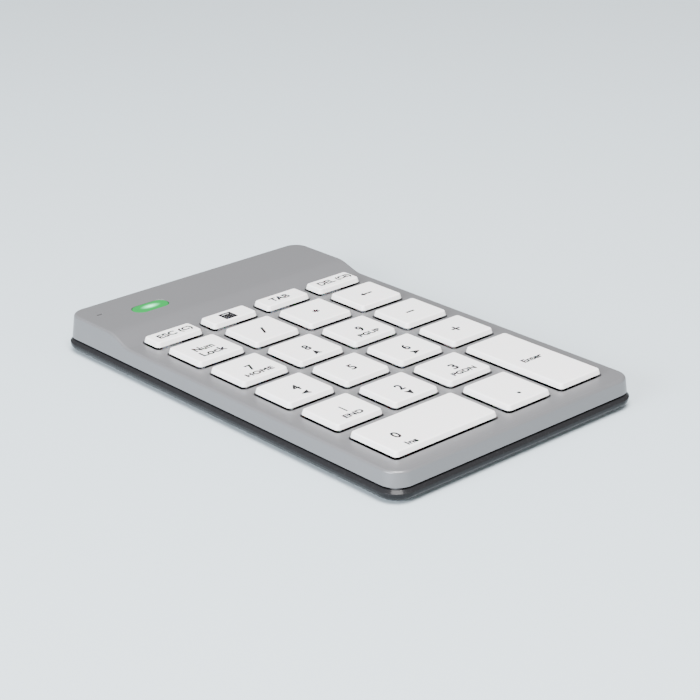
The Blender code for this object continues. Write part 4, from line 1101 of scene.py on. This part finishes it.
def leftward_arrow(cx, cy, width):
    half = width / 2
    thick = 0.22
    return [(cx - half, cy), (cx - half + 1.0, cy + 0.75), (cx - half + 1.0, cy + thick),
            (cx + half, cy + thick), (cx + half, cy - thick), (cx - half + 1.0, cy - thick),
            (cx - half + 1.0, cy - 0.75)]


def slash(cx, cy, height):
    half = height / 2
    lean = 0.22 * height
    thick = 0.24
    return [(cx - lean - thick, cy - half), (cx - lean + thick, cy - half),
            (cx + lean + thick, cy + half), (cx + lean - thick, cy + half)]


def plus(cx, cy, size):
    half = size / 2
    t = 0.23
    return [(cx - half, cy - t), (cx - t, cy - t), (cx - t, cy - half), (cx + t, cy - half),
            (cx + t, cy - t), (cx + half, cy - t), (cx + half, cy + t), (cx + t, cy + t),
            (cx + t, cy + half), (cx - t, cy + half), (cx - t, cy + t), (cx - half, cy + t)]


def calculator(cx, cy, size):
    """Square body with a display and nine buttons left clear."""
    half = size / 2
    outlines = [outline(cx, cy, size, size, 0.3, 3)]
    outlines.append(bar(cx, cy + half * 0.62, size * 0.70, size * 0.13))
    for row in range(3):
        for column in (-1, 0, 1):
            outlines.append(bar(cx + column * size * 0.27, cy + half * (0.12 - 0.42 * row),
                                size * 0.11, size * 0.09))
    return outlines


# Words on the keys: text, centre, width, height of its letters
WORDS = {
    "key_0": (("0", -10.4, -1.0, 2.0, 3.2), ("Ins", -10.1, -6.1, 3.4, 2.0)),
    "key_1": (("1", 0.0, -0.4, None, 3.2), ("END", 0.0, -4.1, 6.1, 1.9)),
    "key_2": (("2", 0.0, -0.4, 1.9, 3.2),),
    "key_3": (("3", 0.0, -0.4, 1.9, 3.2), ("PGDN", 0.0, -4.1, 8.0, 1.9)),
    "key_4": (("4", 0.0, -0.4, 2.1, 3.2),),
    "key_5": (("5", 0.0, -0.4, 1.9, 3.2),),
    "key_6": (("6", 0.0, -0.4, 1.9, 3.2),),
    "key_7": (("7", 0.0, -0.4, 1.9, 3.2), ("HOME", 0.0, -4.1, 8.8, 1.9)),
    "key_8": (("8", 0.0, -0.4, 1.9, 3.2),),
    "key_9": (("9", 0.0, -0.4, 1.9, 3.2), ("PGUP", 0.0, -4.1, 7.4, 1.9)),
    "key_enter": (("Enter", -0.5, -0.3, 6.8, 2.0),),
    "key_num_lock": (("Num", -0.6, 0.5, 6.2, 2.6), ("Lock", -0.2, -3.1, 7.8, 2.6)),
    "key_escape": (("ESC", -2.1, 0.0, 5.8, 2.5), ("(C)", 4.1, -0.1, 4.2, 2.6)),
    "key_tab": (("TAB", -0.8, 0.0, 6.4, 2.5),),
    "key_delete": (("DEL", -2.4, 0.0, 5.6, 2.5), ("(CE)", 4.0, -0.1, 5.2, 2.6)),
    "key_multiply": (("*", 0.0, -0.3, 2.0, 2.0),),
}
MARKS = {
    "key_8": [arrow(0.0, -4.3, 2.3, 0)],
    "key_4": [arrow(0.0, -4.3, 2.3, 90)],
    "key_6": [arrow(0.0, -4.3, 2.3, -90)],
    "key_2": [arrow(0.0, -4.3, 2.3, 180)],
    "key_divide": [slash(-0.4, -1.0, 3.5)],
    "key_minus": [bar(-0.5, -0.6, 2.6, 0.48)],
    "key_plus": [plus(-0.3, -0.3, 2.6)],
    "key_backspace": [leftward_arrow(0.0, -0.1, 3.8)],
    "key_point": [outline(0.3, -4.1, 0.8, 0.8, 0.38, 5)],
    "key_calculator": calculator(-0.6, -0.5, 3.8),
}


def word(text, cx, cy, width, height, z):
    """Printed text fitted to a letter height and, where one is given, a width."""
    curve = bpy.data.curves.new("word", "FONT")
    curve.body = text
    curve.extrude = 1.0
    curve.resolution_u = 5
    obj = curve_to_mesh(curve, "word", Matrix.Identity(4))
    low = [min(vertex.co[axis] for vertex in obj.data.vertices) for axis in range(3)]
    high = [max(vertex.co[axis] for vertex in obj.data.vertices) for axis in range(3)]
    natural = height * (high[0] - low[0]) / (high[1] - low[1])
    target = ((width or natural) - 2 * INK_SPREAD, height - 2 * INK_SPREAD, INK)
    place = (cx, cy, z + INK / 2)
    for vertex in obj.data.vertices:
        for axis in range(3):
            share = (vertex.co[axis] - low[axis]) / (high[axis] - low[axis]) - 0.5
            vertex.co[axis] = (place[axis] + share * target[axis]) * MM
    return thickened(obj)


def thickened(obj):
    """Eight passes of the same print, a hair apart, for the heavier strokes of the legends."""
    passes = []
    sides = ((-1, -1), (0, -1), (1, -1), (1, 0), (1, 1), (0, 1), (-1, 1), (-1, 0))
    for layer, (side_x, side_y) in enumerate(sides):
        copy = bpy.data.objects.new("pass", obj.data.copy())
        copy.data.transform(at(side_x * INK_SPREAD, side_y * INK_SPREAD, layer * INK_LAYER))
        passes.append(copy)
    bpy.data.objects.remove(obj, do_unlink=True)
    return gather("word", passes)


class BuildKeys(bpy.types.Operator):
    """Make the key caps, each hollow, with a plunger and scissor clips"""

    bl_idname = "keypad.keys"
    bl_label = "Keys"

    def execute(self, context):
        for key in KEY_NAMES:
            cap = self.shell(key, context.scene.keypad_sizes)
            self.add_inside(cap, key)
            settle(cap, "cap_" + key[4:], "key", key, [key], weighted=True)
        return {"FINISHED"}

    def shell(self, key, sizes):
        """Inside from the roof down, round the rim, then up the leaning skirt and over the edge."""
        low, high = span(key)
        middle = (low + high) / 2
        shape = (middle.x, middle.y, high.x - low.x, high.y - low.y, CAP_RADIUS)
        edge = sizes.key_edge / MM
        rim = sizes.key_rim / MM
        height = Z_KEY - Z_SKIRT

        def lean(z):
            return KEY_LEAN * (z - Z_SKIRT) / height

        profile = [(KEY_WALL + KEY_LEAN + INNER_EDGE, Z_KEY_ROOF),
                   (KEY_WALL + lean(Z_KEY_ROOF), Z_KEY_ROOF - INNER_EDGE), (KEY_WALL, Z_SKIRT),
                   (rim, Z_SKIRT), (rim * 0.3, Z_SKIRT + rim * 0.3), (0.0, Z_SKIRT + rim)]
        slope = math.degrees(math.atan2(KEY_LEAN, height))
        for step in range(EDGE_STEPS + 1):
            angle = math.radians(slope + (90 - slope) * step / EDGE_STEPS)
            bulge = edge * (math.cos(math.radians(slope)) - math.cos(angle))
            profile.append((lean(Z_KEY - edge) + bulge, Z_KEY - edge + edge * math.sin(angle)))
        last = profile[-1][0]
        profile += [(last + band, Z_KEY) for band in TOP_BANDS]
        return loft("cap", [ring(*shape, inset, z, KEY_CORNER_STEPS) for inset, z in profile])

    def add_inside(self, cap, key):
        cx, cy, width, depth = opening_of(key)
        root = Z_KEY_ROOF + KEY_WALL / 2
        tip = Z_KEY_ROOF - PLUNGER_LENGTH
        profile = [(PLUNGER_TIP_RADIUS, tip), (PLUNGER_RADIUS, tip + INNER_EDGE),
                   (PLUNGER_RADIUS, root)]
        inside = [turned("plunger", cx, cy, profile, PLUNGER_STEPS)]
        clip = min(CLIP_DEPTH, depth - CLIP_MARGIN) / 2
        for side in (-1, 1):
            dx, dy = CLIP_WIDTH / 2, clip
            x, y = cx + side * CLIP_SPREAD, cy
            if key == "key_enter":
                dx, dy = dy, dx
                x, y = cx, cy + side * CLIP_SPREAD
            inside.append(box("clip", x - dx, x + dx, y - dy, y + dy,
                              Z_KEY_ROOF - CLIP_LENGTH, root))
        fuse(cap, gather("inside", inside))
        if "stabiliser_" + key[4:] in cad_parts:
            fuse(cap, gather("hangers", self.hangers(key, cx, cy)))

    def hangers(self, key, cx, cy):
        """Hooks that hold the stabiliser's bar and let it slide sideways."""
        bar = span("stabiliser_" + key[4:])[1].z
        low = bar - WIRE_THICKNESS - GAP
        near = WIRE_BAR_OFFSET - WIRE_THICKNESS / 2 - GAP
        end = WIRE_BAR_OFFSET + WIRE_THICKNESS / 2
        root = Z_KEY_ROOF + KEY_WALL / 3
        hook = [(near - HANGER_WALL, low - HANGER_WALL), (end, low - HANGER_WALL), (end, low),
                (near, low), (near, root), (near - HANGER_WALL, root)]
        across, along, way = (cx, cy, "Y") if key == "key_enter" else (cy, cx, "X")
        points = [(across + reach, z) for reach, z in hook]
        return [carried("hook", points, along + side * HANGER_SPACING - HANGER_WIDTH / 2,
                        along + side * HANGER_SPACING + HANGER_WIDTH / 2, way) for side in (-1, 1)]


class BuildLegends(bpy.types.Operator):
    """Print the generic legends on the key caps"""

    bl_idname = "keypad.legends"
    bl_label = "Legends"

    def execute(self, context):
        z = Z_KEY + INK_GAP
        for key in KEY_NAMES:
            centre = middle_of(key)
            pieces = [word(*entry, z) for entry in WORDS.get(key, ())]
            if key in MARKS:
                pieces.append(thickened(flat_curve("mark", MARKS[key], z, z + INK)))
            legend = gather("legend", pieces)
            legend.data.transform(Matrix.Translation((centre.x * MM, centre.y * MM, 0)))
            settle(legend, "legend_" + key[4:], "ink", key)
        return {"FINISHED"}


# ---------------------------------------------------------------- switches, screws and contacts

def squashed(obj, top):
    """Give a piece under a key its own mesh; the share by which the key's travel would flatten it
    onto the mat is worked out but not used.
    """
    height = top - Z_MAT_TOP
    (height - KEY_TRAVEL) / height
    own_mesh(obj)


class BuildSwitches(bpy.types.Operator):
    """Make the silicone mat and grow its domes and the crossing frames that keep each key level"""

    bl_idname = "keypad.switches"
    bl_label = "Switches"

    def execute(self, context):
        self.make_mat()
        dome = dome_growth()
        scissor = frame_growth()
        for key in KEY_NAMES:
            cx, cy, width, depth = opening_of(key)
            foot = Z_MAT + DOME_LIFT
            sizes = {"Foot": DOME_FOOT, "Crown": DOME_CROWN, "Height": MAT_HIGH.z - foot,
                     "Wall": DOME_WALL}
            piece = grown(dome, sizes, at(cx, cy, foot))
            settle(piece, "dome_" + key[4:], "dome", "casing")
            squashed(piece, MAT_HIGH.z)
            if depth > SHALLOWEST_SCISSOR:
                self.make_scissor(scissor, key, cx, cy)
        return {"FINISHED"}

    def make_scissor(self, tree, key, cx, cy):
        low = Z_MAT_TOP + SCISSOR_LOW
        turn = 90.0 if key == "key_enter" else 0.0
        sizes = {"Length": SCISSOR_LENGTH, "Wide": SCISSOR_WIDE, "Narrow": SCISSOR_NARROW,
                 "Bar": SCISSOR_BAR, "Rise": SCISSOR_HIGH - low}
        piece = grown(tree, sizes, at(cx, cy, (SCISSOR_HIGH + low) / 2, turn))
        settle(piece, "scissor_" + key[4:], "black", "casing")
        squashed(piece, SCISSOR_HIGH + SCISSOR_BAR / 2)

    def make_mat(self):
        """Sheet with a hole for each dome's foot and room for the screw posts and wire tabs."""
        low, high = MAT_LOW, MAT_HIGH
        shape = outline(0, (low.y + high.y) / 2, high.x - low.x, high.y - low.y, MAT_RADIUS)
        sheet = flat_curve("mat", [shape], Z_MAT, Z_MAT_TOP)
        tools = [screw_posts("post_room", Z_MAT - GAP, Z_MAT_TOP + GAP, POST_RADIUS + GAP)]
        for key in KEY_NAMES:
            cx, cy, width, depth = opening_of(key)
            tools.append(post(cx, cy, Z_MAT - GAP, Z_MAT_TOP + GAP, DOME_FOOT - DOME_SEAT,
                              DOME_STEPS))
            if "stabiliser_" + key[4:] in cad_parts:
                tools += self.tab_room(key, cx, cy)
        cut(sheet, gather("room", tools))
        # The mat's near-black finish is painted shade for the gaps round the keys.
        settle(sheet, "mat", "mat", "casing", ["dome_mat"])

    def tab_room(self, key, cx, cy):
        """Clearance round the plate's two tabs that hold a stabiliser's stub ends."""
        low, high = span("stabiliser_" + key[4:])
        axis = WIRE_THICKNESS / 2
        tools = []
        for side in (-1, 1):
            if key == "key_enter":
                x, y = low.x + axis, cy + side * ((high.y - low.y) / 2 - TAB_INSET)
                dx, dy = TAB_ROOM
            else:
                x, y = cx + side * ((high.x - low.x) / 2 - TAB_INSET), low.y + axis
                dy, dx = TAB_ROOM
            tools.append(box("tab_room", x - dx, x + dx, y - dy, y + dy,
                             Z_MAT - GAP, Z_MAT_TOP + GAP))
        return tools


class BuildScrews(bpy.types.Operator):
    """Grow the six cross-headed screws that hold the casing together"""

    bl_idname = "keypad.screws"
    bl_label = "Screws"

    def execute(self, context):
        tree = screw_growth()
        head = SCREW_SIZES["Head height"]
        for name, (x, y) in zip(SCREWS, screw_places()):
            low, high = span(name)
            sizes = {**SCREW_SIZES, "Length": high.z - low.z - head - SCREW_TIP_ROOM}
            place = at(x, y, low.z + head, SCREW_TURNS[name.rsplit("_", 1)[1]])
            settle(grown(tree, sizes, place), "threaded_" + name, "screw", "casing",
                   [name])
        return {"FINISHED"}


class BuildContacts(bpy.types.Operator):
    """Grow the contacts, pins and legs on the membrane and the board"""

    bl_idname = "keypad.contacts"
    bl_label = "Contacts"

    def execute(self, context):
        self.membrane_contacts()
        self.socket_contacts()
        self.chip_legs()
        return {"FINISHED"}

    def membrane_contacts(self):
        z = FILM_TOP + CONTACT_LIFT
        points = [(*opening_of(key)[:2], z) for key in KEY_NAMES]
        sizes = {"Ring": 2.4, "Pad": 1.1, "Line": 0.3, "Height": 0.02}
        piece = grown(ring_growth(), sizes, Matrix.Identity(4), points)
        settle(piece, "membrane_contacts", "ink", "casing")

    def socket_contacts(self):
        low, high = span("usb_socket")
        middle = (low + high) / 2
        tree = row_growth("gold")
        depth_in_port, half_tongue = 2.6, 0.37
        sizes = {"Count": 12, "Pitch": 0.5, "Width": 0.25, "Depth": 3.0, "Height": 0.04}
        rows = [grown(tree, sizes, at(middle.x, high.y - depth_in_port,
                                      middle.z + side * half_tongue)) for side in (-1, 1)]
        settle(gather("rows", rows), "socket_contacts", "gold", "casing")

    def chip_legs(self):
        tree = row_growth("socket")
        legs = []
        low, high = span("controller_chip")
        middle = (low + high) / 2
        foot = span("circuit_board")[1].z
        chip_reach, plug_reach, lift = 0.26, 0.33, 0.1
        for side in (-1, 1):
            sizes = {"Count": 9, "Pitch": 0.6, "Width": 0.26, "Depth": 0.55, "Height": 0.16}
            y = middle.y + side * ((high.y - low.y) / 2 + chip_reach)
            legs.append(grown(tree, sizes, at(middle.x, y, foot + lift)))
        low, high = span("ribbon_connector")
        sizes = {"Count": 12, "Pitch": 1.0, "Width": 0.4, "Depth": 0.7, "Height": 0.16}
        legs.append(grown(tree, sizes, at((low.x + high.x) / 2, high.y + plug_reach, foot + lift)))
        settle(gather("legs", legs), "solder_legs", "socket", "casing")


# ---------------------------------------------------------------- lights on the hump

class BuildWindow(bpy.types.Operator):
    """Make the light window's milky lens"""

    bl_idname = "keypad.window"
    bl_label = "Light window"

    def execute(self, context):
        low, high = span("light_window")
        middle = (low + high) / 2
        edge = context.scene.keypad_sizes.window_edge / MM
        flange_top = Z_HUMP_ROOF - GAP
        flange = (middle.x, middle.y, high.x - low.x, high.y - low.y, FLANGE_RADIUS)
        plug = (middle.x, middle.y, *WINDOW_PLUG, WINDOW_PLUG[1] / 2 - END_SLACK)
        profile = [(flange, 0.0, low.z), (flange, 0.0, flange_top), (plug, 0.0, flange_top)]
        for step in range(EDGE_STEPS + 1):
            angle = math.radians(90 * step / EDGE_STEPS)
            profile.append((plug, edge * (1 - math.cos(angle)),
                            Z_HUMP - edge * (1 - math.sin(angle))))
        profile.append((plug, edge + 0.1, Z_HUMP))
        rings = [ring(*shape, inset, z, WINDOW_STEPS) for shape, inset, z in profile]
        settle(loft("lens", rings), "lens", "lens", "casing", ["light_window"])
        return {"FINISHED"}


# ---------------------------------------------------------------- carried-over frame nodes

NODE_FINISHES = {
    "switch_plate": "plate", "membrane": "film", "dome_mat": "mat", "circuit_board": "board",
    "usb_socket": "socket", "power_switch": "black", "power_knob": "black", "battery": "foil",
    "battery_pad": "foam", "battery_lead_black": "black", "battery_lead_red": "red",
    "ribbon_connector": "ivory", "controller_chip": "chip", "crystal": "socket",
    "antenna": "ivory", "battery_connector": "ivory", "window_lamp": "lamp",
    "status_lamp": "lamp", "window_diffuser": "guide", "status_light_guide": "smoked",
    "stabiliser_0": "wire", "stabiliser_enter": "wire",
    **dict.fromkeys(FEET, "rubber"), **dict.fromkeys(SCREWS, "screw"),
}


class FinishNodes(bpy.types.Operator):
    """Give the frame's own pieces their finishes"""

    bl_idname = "keypad.nodes"
    bl_label = "Frame finishes"

    def execute(self, context):
        for name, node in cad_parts.items():
            node.data.materials.clear()
            node.data.materials.append(FINISHES[NODE_FINISHES.get(name, "black")])
        return {"FINISHED"}


# ---------------------------------------------------------------- stage

def area_light(name, place, aim, size, power, tone):
    data = bpy.data.lights.new(name, "AREA")
    data.shape = "RECTANGLE"
    data.size, data.size_y = size
    data.energy = power
    data.color = tone
    lamp = bpy.data.objects.new(name, data)
    lamp.location = place
    lamp.rotation_euler = (Vector(aim) - Vector(place)).to_track_quat("-Z", "Y").to_euler()
    bpy.context.scene.collection.objects.link(lamp)


class BuildStage(bpy.types.Operator):
    """Lay the pale floor, hang the lights and place the camera"""

    bl_idname = "keypad.stage"
    bl_label = "Stage"

    def execute(self, context):
        bm = bmesh.new()
        bmesh.ops.create_grid(bm, x_segments=1, y_segments=1, size=FLOOR_HALF)
        floor = new_object(bm, "floor")
        floor.data.materials.append(FINISHES["floor"])
        self.hang_lights()
        self.place_camera(context.scene)
        return {"FINISHED"}

    def hang_lights(self):
        for entry in LIGHTS:
            area_light(*entry)
        world = bpy.data.worlds.new("studio")
        world.use_nodes = True
        sky = world.node_tree.nodes["Background"]
        sky.inputs["Color"].default_value = SKY_COLOUR
        sky.inputs["Strength"].default_value = SKY_STRENGTH
        bpy.context.scene.world = world

    def place_camera(self, scene):
        data = bpy.data.cameras.new("camera")
        data.lens = CAMERA_LENS
        data.sensor_width = CAMERA_SENSOR
        data.clip_start = 0.01
        camera = bpy.data.objects.new("camera", data)
        camera.location = Vector(CAMERA_PLACE) * MM
        turn = Vector(CAMERA_AIM).to_track_quat("-Z", "Y")
        roll = Quaternion((0, 0, 1), math.radians(CAMERA_ROLL))
        camera.rotation_euler = (turn @ roll).to_euler()
        scene.collection.objects.link(camera)
        scene.camera = camera


# ---------------------------------------------------------------- panel and run

STEPS = (BuildStage, FinishNodes, BuildCover, BuildTray, BuildKeys, BuildLegends, BuildSwitches,
         BuildScrews, BuildContacts, BuildWindow)


class KeypadPanel(bpy.types.Panel):
    """Lists the keypad's steps, sizes and colours"""

    bl_idname = "VIEW3D_PT_keypad"
    bl_label = "Numeric keypad"
    bl_space_type = "VIEW_3D"
    bl_region_type = "UI"
    bl_category = "Keypad"

    def draw(self, context):
        for step in STEPS:
            self.layout.operator(step.bl_idname)
        for group in (context.scene.keypad_sizes, context.scene.keypad_colours):
            for name in type(group).__annotations__:
                self.layout.prop(group, name)


CLASSES = (KeypadSizes, KeypadColours, *STEPS, KeypadPanel)


def register():
    for cls in CLASSES:
        bpy.utils.register_class(cls)
    bpy.types.Scene.keypad_sizes = bpy.props.PointerProperty(type=KeypadSizes)
    bpy.types.Scene.keypad_colours = bpy.props.PointerProperty(type=KeypadColours)


def unregister():
    del bpy.types.Scene.keypad_colours
    del bpy.types.Scene.keypad_sizes
    for cls in reversed(CLASSES):
        bpy.utils.unregister_class(cls)


FINISHES = {}


def main():
    register()
    FINISHES.update(make_finishes(bpy.context.scene.keypad_colours))
    for step in STEPS:
        getattr(bpy.ops.keypad, step.bl_idname.split(".")[1])()


if __name__ == "__main__":
    main()
